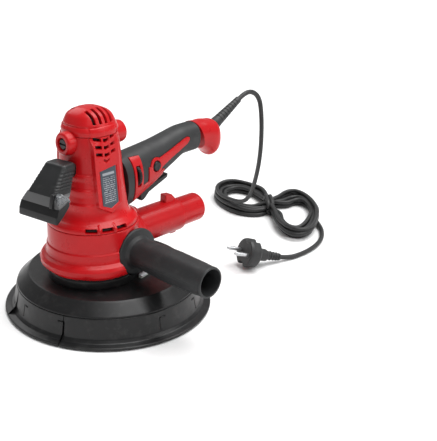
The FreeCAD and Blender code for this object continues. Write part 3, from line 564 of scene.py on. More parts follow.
# ------------------------------------------------------------------ cord and plug
CORD_DROP = [(209.9, 0, 192.7), (223.1, 0, 199.7), (237.9, -1, 197.6), (248, -2, 187.5), (252, -2.5, 171),
             (256, -1.5, 149), (263.5, 4, 121), (273.5, 14, 92), (286, 29, 62.5), (298, 44, 38),
             (300, 60, 21)]
CORD_TAIL = [(386, 4, 4.5), (361, -17, 5), (351, -33, 4), (337, -49.5, 3), (318, -63.5, 3), (296, -73.5, 3),
             (272, -78, 3),
             (250, -78, 3), (232, -75, 3.4), (219.1, -69.8, 6.5)]
WAIST = (346.0, 49.0)
# each lobe of the hank: middle, half length, half width, heading, bulge to the waist, start and sweep
LOBES = (((346.0, 97.0), 60.0, 37.0, 62.0, 0.0, 188.0, 276.0),
         ((351.0, 0.0), 82.0, 26.5, 36.0, 9.0, 50.0, 316.0))


PLUG_SPOT = (180.0, -54.0, 19.0)
PLUG_AIM = (-0.889, 0.359, 0.284)
PLUG_ACROSS = (0.375, 0.927, 0.0)


def lobe_points(lobe, turn):
    """One turn's way round a lobe, clockwise.

    An ellipse that bulges towards the waist, shrunk and swung a little from turn to turn.
    """
    middle, long, short, heading, bulge, start, sweep = lobe
    shrink = 1.0 - 0.145 * (turn % 3) - 0.03 * (turn // 3)
    t = np.radians(np.linspace(start, start - sweep, 13))
    u = shrink * long * np.cos(t)
    v = shrink * (short * np.sin(t) + bulge * (1 + np.sin(t)) / 2)
    swing = math.radians(heading + 4.0 * math.sin(2.3 * turn))
    return np.stack([middle[0] + u * math.cos(swing) - v * math.sin(swing),
                     middle[1] + u * math.sin(swing) + v * math.cos(swing)], -1)


def hank_points(turns):
    """Tied hank: each turn runs round the far lobe, through the waist, and back round the near lobe."""
    spots = []
    across = np.array([0.69, 0.72])
    for turn in range(turns - 1, -1, -1):
        level = 3.1 + 5.6 * (turn // 3)
        pass_by = (4.0 + 4.6 * (turn % 3)) * across
        far, near = lobe_points(LOBES[0], turn), lobe_points(LOBES[1], turn)
        way = np.concatenate([far, [WAIST + pass_by], near, [WAIST - pass_by]])
        over = 5.8 * np.exp(-((way[:, 0] - 350) / 20) ** 2 - ((way[:, 1] + 32) / 20) ** 2)
        ripple = 0.8 * (1 + np.sin(1.7 * np.arange(len(way)) + turn)) * (turn // 3 > 0)
        spots.append(np.column_stack([way, level + over + ripple]))
    return np.concatenate(spots)[4:-10]


def make_cord():
    """One flexible cord: sprung out of the strain relief, down to the tied hank, and out to the plug."""
    hank = hank_points(sizes().hank_turns)
    route = np.concatenate([np.array(CORD_DROP, float), hank, np.array(CORD_TAIL, float)]) * MM
    curve = bpy.data.curves.new("power_cord_line", "CURVE")
    curve.dimensions = "3D"
    line = curve.splines.new("NURBS")
    line.points.add(len(route) - 1)
    line.points.foreach_set("co", np.concatenate([route, np.ones((len(route), 1))], 1).ravel())
    line.order_u = 3
    line.use_endpoint_u = True
    line.resolution_u = 4
    curve.bevel_depth = sizes().cord_width * MM / 2
    curve.bevel_resolution = 4
    curve.use_fill_caps = True
    cord = bpy.data.objects.new("power_cord_line", curve)
    bpy.context.scene.collection.objects.link(cord)
    curve.materials.append(finish("cord"))
    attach(cord, "housing")
    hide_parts("power_cord", "cord_hank", "cord_tail")
    tie = make_tie()
    plug, pins = make_plug()


def make_tie():
    """Turn of cord wrapped round the waist of the hank: a tube carried round a rounded rectangle."""
    ring = soft_outline([(-17, 1.4, 6), (17, 1.4, 6), (17, 17.6, 8), (-17, 17.6, 8)], 8)
    loops = []
    tilt = math.radians(46.0)
    for offset in (-3.0, 2.9):
        path = np.stack([ring[:, 0] * math.cos(tilt) - offset * math.sin(tilt) + WAIST[0],
                         ring[:, 0] * math.sin(tilt) + offset * math.cos(tilt) + WAIST[1],
                         ring[:, 1] + 1.6], -1)
        loops.append((tube_round(path, 2.9, closed=True), True, True))
    return build("cord_wrap", loops, finish("cord"), "housing", ["cord_tie"])


def tube_round(path, radius, count=14, closed=False):
    """Tube: a circle of the given radius carried along a path, square to its tangent."""
    ahead = np.roll(path, -1, 0) if closed else np.concatenate([path[1:], path[-1:]])
    behind = np.roll(path, 1, 0) if closed else np.concatenate([path[:1], path[:-1]])
    tangent = ahead - behind
    tangent /= np.linalg.norm(tangent, axis=1)[:, None]
    up = np.array([0.0, 0.0, 1.0])
    side = np.cross(tangent, up)
    weak = np.linalg.norm(side, axis=1) < 1e-3
    side[weak] = np.array([1.0, 0.0, 0.0])
    side /= np.linalg.norm(side, axis=1)[:, None]
    other = np.cross(side, tangent)
    a = (2 * np.pi * np.arange(count) / count)[None, :, None]
    return path[:, None] + radius * (np.cos(a) * side[:, None] + np.sin(a) * other[:, None])


def plug_frame(points):
    """Plug points (across, up, forward) placed at the plug's spot, facing along its aim."""
    aim, across = np.array(PLUG_AIM), np.array(PLUG_ACROSS)
    up = np.cross(across, aim)
    return (np.array(PLUG_SPOT) + points[..., :1] * across + points[..., 1:2] * up + points[..., 2:] * aim)


def make_plug():
    """Round two-pin mains plug: turned head with two side notches, waisted grip and ribbed relief."""
    outline = soft_outline([(0, -44, 0), (4.2, -44, 0.8), (4.6, -36, 0), (4.6, -35, 0), (5.6, -24, 1),
                            (8.2, -22, 1),
                            (8.8, -12, 2), (12, -9, 2), (17.4, -6, 2), (17.9, 5, 1.5), (17.0, 8.4, 1.0),
                            (0, 8.4, 0)], 5, closed=False)
    outline = resample(outline, 1.2)

    def ribs(angle, height):
        grooves = 0.8 * np.cos(height * 2 * np.pi / 4.2) * band(height, -34, 8, 2)
        notch = -5.2 * (band(np.abs(np.sin(angle)), 1.0, 0.045, 0.03)) * step(-9, -7, height)
        squash = -1.2 * np.abs(np.sin(angle)) ** 4 * band(height, -16, 7, 3)
        return grooves + notch + squash
    points, _ = lathe(outline, count=120, ripple=ribs)
    points[..., 0] = np.where(outline[None, :, 0] == 0, 0, points[..., 0])
    points[..., 1] = np.where(outline[None, :, 0] == 0, 0, points[..., 1])
    head = build("plug_head", [(plug_frame(points), True, False)], finish("cord"), "housing", ["plug_body"])
    pin_line = soft_outline([(0, 8.3, 0), (2.4, 8.3, 0), (2.4, 25, 0.4), (1.2, 27.3, 0.6), (0, 27.4, 0)], 4,
                            closed=False)
    pins = []
    for side in (-9.5, 9.5):
        pin, _ = lathe(pin_line, count=24)
        pin = pin + np.array([side, 0, 0])
        pins.append((plug_frame(pin), True, False))
    steel = build("plug_contacts", pins, finish("steel"), "housing", ["plug_pins"])
    return head, steel


# ------------------------------------------------------------------ shroud
def rim_outline():
    return soft_outline([
        (97.4, 29.6, 0.4), (101.6, 9, 2), (102.6, 1.1, 0.3), (113.4, 1.1, 0.4), (114.0, 1.8, 0.3),
        (114.0, 3.4, 0.5),
        (113.2, 4.0, 0.5), (106.8, 5.2, 2), (104.4, 8.6, 3), (102.2, 19.5, 0), (100.2, 29.6, 0.6)], 5)


def rim_marks(angle, height):
    """Shallow L-shaped snap marks round the band, repeated at 90 degrees."""
    degrees = np.degrees(angle) % 90.0
    cut = 0 * degrees
    for mark, way in ((80.0, 1), (23.0, -1)):
        along = (degrees - mark) * 1.8
        cut = np.maximum(cut, band(along, 0, 0.55, 0.5) * band(height, 17, 6.5, 1.0))
        cut = np.maximum(cut, band(along * way, 3.4, 3.4, 0.8) * band(height, 23.4, 0.5, 0.5))
    return -0.9 * cut


def make_shroud():
    """Turned cover, fixed rim ring, removable front rim segment, clear light ring."""
    cover = soft_outline([
        (14, 40.6, 0), (85, 40.6, 1), (96.4, 30.1, 0.5), (99.9, 30.1, 0.3), (99.4, 31.6, 0.6),
        (88.3, 41.6, 1.6),
        (86.6, 43.0, 0.5), (14, 43.0, 0)], 6)
    build("shroud_top", closed_lathe(resample_closed(cover, 2.5), count=256), finish("black"),
          "housing", ["shroud_cover"])
    ring = resample_closed(rim_outline(), 1.0)
    build("shroud_rim", closed_lathe(ring, count=540, start=203.0, sweep=314.0, ripple=rim_marks),
          finish("black"),
          "housing", ["rim_ring"])
    build("shroud_front_segment", closed_lathe(ring, count=90, start=157.4, sweep=45.2, ripple=rim_marks),
          finish("black"), "rim_segment", ["rim_segment"])
    lens = soft_outline([(46.6, 44.4, 0.2), (50.6, 44.4, 0.6), (51.4, 45.2, 0.5), (51.2, 46.3, 0.6),
                         (50, 47.0, 0.4),
                         (46.6, 47.0, 0.2)], 4)
    build("light_ring", closed_lathe(lens, count=180, start=-86.0, sweep=172.0), finish("ring"), "housing",
          ["light_ring_lens"])
    collar = soft_outline([(40, 43.1, 0), (49.4, 43.1, 0.4), (49.4, 51.4, 1.2), (48.2, 53.7, 0.8),
                           (40, 53.7, 0)], 4)
    collar = resample_closed(collar, 1.0)
    points, _ = lathe(collar, (HOUSE_X, 0, 0), count=256)
    away = np.hypot(points[..., 0], points[..., 1])
    clash = (away > 46.0) & (points[..., 0] > -2) & (points[..., 2] < 50)
    shrink = np.where(clash, np.minimum(1.0, 46.0 / away), 1.0)
    points[..., 0] *= shrink
    points[..., 1] *= shrink
    seat = np.hypot(points[..., 0], points[..., 2] - SIDE_Z) < 25.9
    points[..., 1] = np.where(seat, np.clip(points[..., 1], -45.7, 45.7), points[..., 1])
    build("neck", [(points, True, True)], finish("black"), "housing", ["neck_collar"])


def resample_closed(outline, spacing):
    """Closed outline with no run longer than spacing."""
    return resample(np.concatenate([outline, outline[:1]]), spacing)[:-1]


# ------------------------------------------------------------------ gear housing
def make_gear_housing():
    """Red drum and bell turned about the motor side, with two side-handle bosses and a duct collar."""
    outline = soft_outline([
        (47, 54.1, 0.4), (50.2, 54.1, 0.5), (55.0, 57.0, 2), (57.0, 59.8, 1.5), (57.5, 65.6, 1.6),
        (55.4, 69.0, 2),
        (51.0, 71.4, 1.5), (50.2, 75, 0), (49.9, 81.0, 0.8), (48.6, 82.4, 0.6), (48.4, 98, 0),
        (48.2, 103.6, 0.8),
        (45, 103.6, 0.3), (45, 85, 0), (46.4, 70, 1), (54.3, 64.5, 1), (54.3, 62, 1), (47, 57, 0.5)], 5)
    outline = resample_closed(outline, 1.4)

    def facets(angle, height):
        """Bell foot slightly eight-sided, and a screw pocket under the front."""
        degrees = np.degrees(angle) % 360
        low = 1 - step(55, 66, height)
        eight = -1.1 * low * (1 - np.cos(8 * (angle - 0.3))) / 2
        eight = eight - 2.6 * low * band(degrees, 312, 24, 22)
        pocket = -2.0 * np.exp(-(((degrees - 222) * 0.97 / 2.2) ** 2)) * band(height, 58.2, 1.9, 0.8)
        return eight + pocket
    grids = closed_lathe(outline, (HOUSE_X, 0, 0), count=360, ripple=facets)
    points = grids[0][0]
    seat = np.hypot(points[..., 0], points[..., 2] - SIDE_Z) < 25.9
    points[..., 1] = np.where(seat, np.clip(points[..., 1], -45.7, 45.7), points[..., 1])
    boss = soft_outline([(4.2, 9, 0), (18.0, 0, 0), (17.4, 6.5, 1), (17.0, 9.5, 0.5), (4.2, 9.5, 0.4)], 5)
    for along, sign in (("-y", -1), ("y", 1)):
        grids += closed_lathe(boss, (0, sign * 36.2, SIDE_Z), along, 64)
    duct = soft_outline([(19.3, 0, 0.3), (26.5, 0, 1), (22.6, 9, 4), (21.4, 15, 1.2), (19.3, 15, 0.4)], 5)
    grids += closed_lathe(duct, (24, 0, PIPE_Z), "x", 96)
    build("gear_case", grids, finish("red"), "housing", ["gear_housing"], attribute="recess")


# ------------------------------------------------------------------ motor housing
def body_point(angle, radius, height, squareness):
    """Motor body point: a rounded-square section about the motor axis at an angle and mean radius."""
    c, s = np.abs(np.cos(angle)), np.abs(np.sin(angle))
    shape = (c ** squareness + s ** squareness) ** (-1 / squareness)
    return np.stack([MOTOR_X + radius * shape * np.cos(angle), radius * shape * np.sin(angle), height], -1)


def squareness(z):
    """Power of the motor case's section: round at the foot, squarer above."""
    return 2.0 + 0.5 * step(108, 124, z)


def case_radius(z):
    """Half width of the motor case at a height: its diagonal half width over that of its section."""
    diagonal = smooth_curve([104, 106, 108.6, 111, 115, 121, 130, 145, 157, 167, 178, 190, 199],
                            [46.6, 47.0, 46.4, 43.6, 39.6, 37.6, 36.4, 34.6, 33.2, 32.2, 31.4, 30.0, 28.6], z)
    return diagonal / 2 ** (0.5 - 1 / squareness(z))


def near_panel(dx, z):
    """1 on the raised shield-shaped panels of the two broad sides."""
    half = 14.6 + 0 * z
    foot = 121.0 + 0.55 * np.abs(dx)
    return (1 - step(half - 0.5, half + 0.5, np.abs(dx))) * step(foot - 0.8, foot + 0.8, z)


def chevrons(dx, z):
    """1 inside the V-shaped vent slots: three rows, each split by ribs, and a small V below."""
    wide = sizes().vent_width
    slots = 0 * dx
    slope = np.where(dx > 0, 0.34, 0.22)
    for row in range(3):
        centre = 180.4 + 7.3 * row + slope * np.abs(dx)
        inside = band(z, centre, wide / 2, 0.7)
        for low, high in ((-11.9, -5.4), (-2.6, 3.2), (5.6, 10.2)):
            slots = np.maximum(slots, inside * band(dx, (low + high) / 2, (high - low) / 2, 0.7))
    small = band(z, 174.0 + 0.6 * np.abs(dx + 0.6), 0.9, 0.7) * band(dx, -0.6, 3.4, 0.7)
    return np.maximum(slots, 0.5 * small)


def make_motor_case():
    """Motor case: a rounded-square column, its radius and skin depth worked out over angle and height."""
    rows, columns = 300, 420
    z = 104.1 + (198.8 - 104.1) * np.linspace(0, 1, rows)[None]
    a = (2 * np.pi * np.arange(columns) / columns)[:, None]
    radius = case_radius(z)
    square = squareness(z)
    dx = radius * np.cos(a) + (MOTOR_X - LABEL_X)
    side = step(0.45, 0.62, np.abs(np.sin(a)))
    front = step(0.55, 0.75, -np.cos(a))
    panel = near_panel(dx, z) * side
    raised = 1.5 * panel
    ledge = 0 * dx
    for level in (131.0, 146.0, 161.0):
        ledge = np.maximum(ledge, np.exp(-np.clip((z - level) / 1.0, 0, 9) ** 2) * step(level - 8, level,
                                                                                        z) * (z < level + 3))
    raised = raised + 1.5 * ledge * front * (1 - panel)
    degrees = np.degrees(a) % 360
    exhaust = 0 * dx
    fin = 0 * dx
    for centre in (229, 250, 270, 131, 110, 90):
        exhaust = np.maximum(exhaust, band(degrees, centre, 7.2, 0.9) * band(z, 107.6, 1.9, 0.8))
    for centre in (239.8, 260.4, 120.2, 99.6):
        fin = np.maximum(fin, band(degrees, centre, 1.5, 0.9) * band(z, 108.2, 4.4, 1.2))
    vents = chevrons(dx, z) * side
    foot = step(0, 0.8, z - (125.2 + 0.45 * np.abs(dx)))
    label = band(dx, 0, 10.9, 0.5) * foot * (1 - step(166.6, 167.2, z - 0.15 * dx))
    holes = np.maximum(vents, exhaust)
    ring = band(z, 107.6, 4.2, 2.0)
    skin_depth = raised + 1.2 * fin + 0.8 * ring * (1 - exhaust) - sizes().vent_depth * holes
    points = body_point(a + 0 * z, radius + skin_depth, z + 0 * a, square + 0 * a)
    broad = np.sign(points[..., 1])
    target = broad * (case_radius(z) + 1.1 - 1.0 * label - sizes().vent_depth * vents)
    weight = panel * (1 - step(190, 198, z))
    points[..., 1] = points[..., 1] * (1 - weight) + target * weight
    inner = body_point(a + 0 * z[:, ::-1], radius[:, ::-1] - 5.6, z[:, ::-1] + 0 * a, square[:, ::-1] + 0 * a)
    surface = np.concatenate([points, inner], 1)
    # painted shade: vents and exhaust slots get near-black colour through the recess attribute
    dark = np.concatenate([np.clip(holes * 1.6 - 0.5, 0, 1), 0 * holes], 1)
    grids = [(surface, True, True, dark)]
    for along, sign in (("-x", -1), ("x", 1)):
        grids.append(brush_boss(along, sign))
    build("motor_shell", grids, finish("red"), "housing", ["motor_case"], angle=50,
          attribute="recess")
    plate_rows = soft_outline([(-10.3, 166.0, 0.8), (10.3, 168.6, 0.8), (10.3, 130.6, 0.8), (0, 126.0, 0.8),
                               (-10.3, 130.6, 0.8)], 4)
    faces = []
    for proud, grow in ((-0.4, 0.0), (0.35, 0.0), (0.5, -0.0075)):
        ring_points = plate_rows * (1 + grow)
        faces.append(np.stack([LABEL_X + ring_points[:, 0], -case_radius(ring_points[:, 1]) - proud,
                               ring_points[:, 1]], -1))
    build("rating_plate", [skin(faces)], finish("label"), "housing", ["name_plate"])


def brush_boss(along, sign):
    """Turned boss round a brush cap: rounded rim, then a recess down to the cap."""
    outline = soft_outline([(12.3, -6, 0), (11.9, 9.6, 0), (11.4, 12.4, 1.6), (9.8, 13.6, 1.2),
                            (6.8, 13.6, 0.6),
                            (6.1, 9.2, 0.4), (0, 9.2, 0)], 6, closed=False)
    points, _ = lathe(outline, (MOTOR_X + (BRUSH_REACH[sign] - 13.6) * sign, 0, BRUSH_Z), along, 72)
    return (points, True, False, np.zeros(points.shape[:2]))


BRUSH_REACH = {-1: 35.9, 1: 41.6}


def make_top_cap():
    """Domed cap: rounded-square section shrinking to the crown, with four deep slots over each shoulder."""
    rows, columns = 150, 360
    outline = smooth_points([(28.4, 199.3), (28.6, 203), (27.2, 208), (25.4, 212.5), (22.5, 217.5),
                             (17, 221.3),
                             (9, 223.8), (0, 224.4)], rows)
    outline[:, 0] /= 2 ** (0.5 - 1 / 2.5)
    a = (2 * np.pi * np.arange(columns) / columns)[:, None]
    radius, z = outline[None, :, 0], outline[None, :, 1]
    square = 2.5 + 0 * a + 0 * z
    points = body_point(a + 0 * z, radius + 0 * a, z + 0 * a, square)
    dx = points[..., 0] - MOTOR_X
    dy = np.abs(points[..., 1])
    slot = 0 * dx
    for centre in (-11.8, -4.8, 2.2, 9.2):
        slot = np.maximum(slot, band(dx, centre, 1.3, 0.7) * band(dy, 18.0, 9.0, 1.4) * step(210.5, 211.5, z))
    broad = (1 - step(14.1, 15.1, np.abs(dx - LABEL_X + MOTOR_X))) * step(0.45, 0.62, np.abs(np.sin(a)))
    broad = broad * (1 - step(207.5, 208.5, z))
    rim = 0.5 * np.exp(-((z - 203.5) / 3.0) ** 2) * (1 - broad) + 0.9 * broad
    groove = 0.9 * np.exp(-(((z - 208.4) / 0.8) ** 2)) * step(0.1, 0.5, -np.cos(a))
    push = rim - groove
    normal = np.stack([np.cos(a) * np.clip(radius / 28, 0.2, 1), np.sin(a) * np.clip(radius / 28, 0.2, 1),
                       np.clip((z - 205) / 20, 0, 1) + 0 * a], -1)
    normal /= np.linalg.norm(normal, axis=-1)[..., None]
    points = points + normal * (push - sizes().vent_depth * slot)[..., None]
    points[..., :2] = np.where((radius == 0)[..., None] & np.ones_like(dx, bool)[..., None],
                               np.array([MOTOR_X, 0.0]), points[..., :2])
    under = np.linspace(1.0, 0.0, 6)[None, :, None]
    foot = points[:, :1]
    floor = np.concatenate([MOTOR_X + (foot[..., :1] - MOTOR_X) * under[..., 0][..., None],
                            foot[..., 1:2] * under[..., 0][..., None],
                            np.full((columns, 6, 1), 199.3)], -1)[:, ::-1]
    surface = np.concatenate([floor[:, :-1], points], 1)
    # painted shade: the shoulder slots get near-black colour through the recess attribute
    dark = np.concatenate([np.zeros((columns, 5)), np.clip(slot * 1.6 - 0.5, 0, 1)], 1)
    build("crown", [(surface, True, False, dark)], finish("red"), "housing", ["top_cap"], angle=50,
          attribute="recess")


def smooth_points(corners, count):
    """Evenly spaced points on a smooth curve through corners, by their running length."""
    corners = np.array(corners, float)
    run = np.concatenate([[0], np.cumsum(np.linalg.norm(np.diff(corners, axis=0), axis=1))])
    t = np.linspace(0, run[-1], count)
    return np.stack([smooth_curve(run, corners[:, 0], t), smooth_curve(run, corners[:, 1], t)], -1)


def make_brush_caps():
    """Slotted screw caps sunk in the two brush bosses."""
    grids = []
    for along, sign in (("-x", -1), ("x", 1)):
        outline = soft_outline([(0, 0, 0), (5.8, 0, 0), (5.8, 5.4, 0.6), (4.6, 6.2, 0.4), (0, 6.2, 0)], 4,
                               closed=False)
        start = BRUSH_REACH[sign] - 7.4
        points, _ = lathe(resample(outline, 0.35), (MOTOR_X + sign * start, 0, BRUSH_Z), along, 72)
        across = np.abs(points[..., 2] - BRUSH_Z)
        face = np.abs(points[..., 0] - MOTOR_X) > start + 5.9
        points[..., 0] -= sign * 1.6 * band(across, 0, 0.8, 0.4) * face
        grids.append((points, True, False))
    build("brush_screws", grids, finish("knob"), "housing", ["brush_caps"])


# ------------------------------------------------------------------ main handle
HANDLE_KEYS = [10, 24, 40, 56, 72, 90, 110, 129]
HANDLE_CENTRE = [136.5, 138, 142.5, 147, 152.4, 158.4, 164.2, 164.8]
HANDLE_TALL = [29.5, 29, 26.5, 24, 20.9, 18.4, 16.2, 16.2]
HANDLE_WIDE = [24, 22.5, 20.5, 19, 17.8, 16.6, 15.6, 15.6]
LOCK = (56.5, 148.5)
DIAL = (28.0, 144.0)


def handle_ring(x, angle, grow=0.0, power=2.3):
    """Handle section at x: superellipse of the height and width found there, grown outwards."""
    middle = smooth_curve(HANDLE_KEYS, HANDLE_CENTRE, x)
    tall = smooth_curve(HANDLE_KEYS, HANDLE_TALL, x) + grow
    wide = smooth_curve(HANDLE_KEYS, HANDLE_WIDE, x) + grow
    c, s = np.cos(angle), np.sin(angle)
    y = np.sign(c) * np.abs(c) ** (2 / power) * wide
    z = middle + np.sign(s) * np.abs(s) ** (2 / power) * tall
    return np.stack([x + 0 * y, y, z], -1)


def red_inlay(x, z):
    """1 on the red trim of the handle's flanks: dial frame, lower hem, button ring and rising finger."""
    frame = band(x, 28.2, 6.6, 0.8) * band(z, 143, 21.0, 1.2)
    hem = band(x, 46, 24, 1.2) * band(z, 125 + 0.34 * (x - 30), 4.6, 1.0)
    ring = 1 - step(9.2, 10.2, np.hypot(x - LOCK[0], z - LOCK[1]))
    wedge = band(x, 52, 8, 1.2) * (z < 150) * (z > 130)
    spine = LOCK[1] + (x - LOCK[0]) * 0.36
    half = smooth_curve([50, 62, 80, 106, 112], [7.5, 6.4, 5.0, 3.9, 0.6], x)
    finger = step(50, 54, x) * (1 - step(110, 112, x)) * (1 - step(-0.4, 0.4, np.abs(z - spine) - half))
    return np.clip(np.maximum.reduce([frame, hem, ring, finger, wedge]), 0, 1)


def openings(x, z, side):
    """1 inside the lock button's hole and the dial's window, which only the near shell has."""
    if side > 0:
        return 0 * z
    hole = 1 - step(5.7, 6.3, np.hypot(x - LOCK[0], z - LOCK[1]))
    return np.maximum(hole, band(x, DIAL[0], 2.9, 0.5) * band(z, DIAL[1], 10.8, 0.6))


def make_handle():
    """Two charcoal shells split on the middle plane, red trim raised on each flank, end cap and relief."""
    rows, half_columns = 300, 130
    for side, word in ((-1, "left"), (1, "right")):
        x = np.linspace(11.5, 128.8, rows)[:, None]
        t = np.linspace(-np.pi / 2, np.pi / 2, half_columns)[None]
        outer = handle_ring(x + 0 * t, t + 0 * x)
        z = outer[..., 2]
        slot = band(outer[..., 0], 65, 22.4, 0.6) * (t < 0) * (np.abs(outer[..., 1]) < 7.6)
        inlay_edge = red_inlay(outer[..., 0], z)
        edge = 4 * inlay_edge * (1 - inlay_edge)
        hole = openings(outer[..., 0], z, side)
        depth = -0.7 * edge - 6.5 * hole - 2.5 * slot
        outer = outer + depth[..., None] * np.stack([0 * z, np.cos(t) + 0 * z, np.sin(t) + 0 * z], -1)
        inner = handle_ring(x + 0 * t, t + 0 * x, grow=-8.4)[:, ::-1]
        wall = np.concatenate([outer, inner], 1)
        wall[..., 1] = np.maximum(wall[..., 1], 0.06) * side
        # painted shade: the lock button's hole, the dial window and the trigger slot get near-black colour
        hollow = np.concatenate([np.clip(2 * np.maximum(hole, slot) - 0.6, 0, 1), 0 * z], 1)
        grids = [(wall, False, True, hollow)]
        for end in (wall[0], wall[-1]):
            face = end_strip(end)
            grids.append((face, False, False, np.zeros(face.shape[:2])))
        build("grip_" + word, grids, finish("charcoal"), "housing", ["handle_" + word],
              angle=50,
              attribute="recess")
        make_inlay(side, word)
    make_end_cap()
    make_controls()


def end_strip(ring):
    """Flat face between the outer and inner half of a cut wall."""
    half = len(ring) // 2
    return np.stack([ring[:half], ring[half:][::-1]], 0)


def make_inlay(side, word):
    """Red trim: the handle's own surface grown a little, kept only where the trim is."""
    rows, columns = 330, 150
    x = np.linspace(15.0, 114.0, rows)[:, None]
    t = np.linspace(-1.15, 1.15, columns)[None]
    base = handle_ring(x + 0 * t, t + 0 * x)
    cover = red_inlay(base[..., 0], base[..., 2])
    cover = cover * (1 - openings(base[..., 0], base[..., 2], side))
    lift = -2.0 + 2.9 * step(0.35, 0.85, cover)
    out = np.stack([0 * x + 0 * t, np.cos(t) + 0 * x, np.sin(t) + 0 * x], -1)
    top = base + lift[..., None] * out
    low = base - 3.4 * out
    for sheet in (top, low):
        sheet[..., 1] *= side
    rim = [np.stack([low[0], top[0]]), np.stack([top[-1], low[-1]]), np.stack([top[:, 0], low[:, 0]]),
           np.stack([low[:, -1], top[:, -1]])]
    grids = [(top, False, False, 0 * cover), (low[::-1], False, False, 0 * cover)]
    for strip in rim:
        grids.append((strip, False, False, np.zeros(strip.shape[:2])))
    build("flank_trim_" + word, grids, finish("red"), "housing", (), angle=50, attribute="recess")


def make_end_cap():
    """Flared red end cap: sections along X with a slanted front edge, closed at the tail by a dome."""
    rows = 70
    along = np.linspace(0, 1, rows)[:, None]
    key = [0, 0.2, 0.43, 0.75, 0.9, 0.97, 1.0]
    x0 = smooth_curve(key, [129.3, 136, 145, 157, 162.8, 165.4, 166], along)
    middle = smooth_curve(key, [164.8, 163.4, 161.5, 158, 158, 158.6, 159], along)
    tall = smooth_curve(key, [16.6, 17.6, 19.5, 21.5, 19.6, 15.6, 10], along)
    wide = smooth_curve(key, [15.8, 16.0, 16.5, 17, 15.6, 12.6, 8], along)
    angle = (2 * np.pi * np.arange(120) / 120)[None]
    c, s = np.cos(angle), np.sin(angle)
    y = np.sign(c) * np.abs(c) ** 0.87 * wide
    z = middle + np.sign(s) * np.abs(s) ** 0.87 * tall
    slant = np.clip(1 - (x0 - 129.3) / 26, 0, 1)
    points = np.stack([x0 + slant * (181 - z) * 0.33, y, z], -1)
    build("tail_cap", [skin(points)], finish("red"), "housing", ["handle_end_cap"],
          attribute="recess")
    aim = np.array([math.cos(math.radians(28)), 0, math.sin(math.radians(28))])
    along = np.linspace(-14, 44.5, 160)
    radius = np.interp(along, [-14, 0, 4, 44.5], [6.6, 6.8, 6.4, 4.0])
    radius = radius - 0.55 * (np.sin(along * 2 * np.pi / 4.6) > 0.55) * (along > 5) * (along < 41)
    a = (2 * np.pi * np.arange(40) / 40)[None]
    centre = np.array([171.0, 0, 172.0]) + along[:, None] * aim
    up = np.array([-aim[2], 0, aim[0]])
    ring = centre[:, None] + radius[:, None, None] * (
        np.cos(a)[..., None] * np.array([0, 1.0, 0]) + np.sin(a)[..., None] * up)
    build("cord_guard", [skin(ring)], finish("cord"), "housing", ["cord_strain_relief"])


def make_controls():
    """Trigger, lock-on button and speed dial."""
    outline = soft_outline([(43.4, 110.6, 1.5), (46, 107.8, 1.6), (50, 110, 3), (56.5, 116, 4),
                            (86, 127.2, 1.2),
                            (86.6, 131.2, 0.8), (57, 123.5, 1), (54.5, 126.8, 1), (46.5, 126.8, 1),
                            (43.6, 121, 1)], 5)
    layers = []
    for y, grow in ((-6.9, 0.93), (-6.2, 0.985), (-5.0, 1.0), (5.0, 1.0), (6.2, 0.985), (6.9, 0.93)):
        middle = outline.mean(0)
        ring = middle + (outline - middle) * grow
        layers.append(np.stack([ring[:, 0], np.full(len(ring), y), ring[:, 1]], -1))
    build("trigger_lever", [skin(layers)], finish("knob"), "trigger", ["trigger"])
    button = soft_outline([(0, 0, 0), (5.3, 0, 0), (5.3, 8.4, 1.0), (4.2, 9.4, 0.8), (0, 9.0, 0)], 5,
                          closed=False)
    points, _ = lathe(resample(button, 0.6), (LOCK[0], -11.5, LOCK[1]), "-y", 64)
    build("lock_knob", [(points, True, False)], finish("knob"), "lock_button", ["lock_button"])
    wheel = soft_outline([(0, 0, 0), (10.6, 0, 0.3), (11.7, 0.8, 0.4), (11.7, 3.2, 0.4), (10.6, 4, 0.3),
                          (0, 4, 0)],
                         4, closed=False)

    def knurl(angle, height):
        """Square teeth round the wheel's edge."""
        return -0.55 * (np.cos(angle * 36) > 0.1) * band(height, 2, 1.7, 0.3)
    points, _ = lathe(resample(wheel, 0.5), (DIAL[0] - 2, -14.6, DIAL[1]), "x", 288, ripple=knurl)
    points[..., 1] = np.where(resample(wheel, 0.5)[None, :, 0] == 0, -14.6, points[..., 1])
    points[..., 2] = np.where(resample(wheel, 0.5)[None, :, 0] == 0, DIAL[1], points[..., 2])
    build("dial_knob", [(points, True, False)], finish("knob"), "speed_dial", ["speed_dial"])


# ------------------------------------------------------------------ side handle and dust pipe
def make_side_handle():
    """Turned grip with a flange, finger swell, fine flutes and an open hollow end."""
    outline = soft_outline([
        (4.3, 0, 0), (24.6, 0, 0.6), (25.2, 1.0, 0.5), (25.2, 2.6, 0.8), (24.2, 3.6, 0.8), (18.5, 4.4, 2),
        (15.4, 7.4, 2), (15.6, 14, 0), (16.2, 24, 8), (17.0, 45, 12), (17.2, 60, 16), (16.4, 86, 10),
        (15.9, 101, 4), (16.1, 104.6, 1), (15.6, 106.3, 0.6), (13.8, 106.3, 0.6), (13.0, 76, 0),
        (10.5, 32, 0),
        (4.3, 30, 0)], 8)
    outline = resample_closed(outline, 1.3)

    def flutes(angle, height):
        """Six shallow panels along the grip and a light seam on each side."""
        on = step(12, 22, height) * (1 - step(92, 99, height))
        seam = -0.25 * np.exp(-((np.sin(angle) / 0.02) ** 2))
        return on * (0.28 * np.cos(6 * angle)) + on * seam
    grids = closed_lathe(outline, (0, -45.9, SIDE_Z), "-y", 220, ripple=flutes)
    build("side_grip", grids, finish("charcoal"), "housing", ["side_handle_grip"], angle=40,
          attribute="recess")


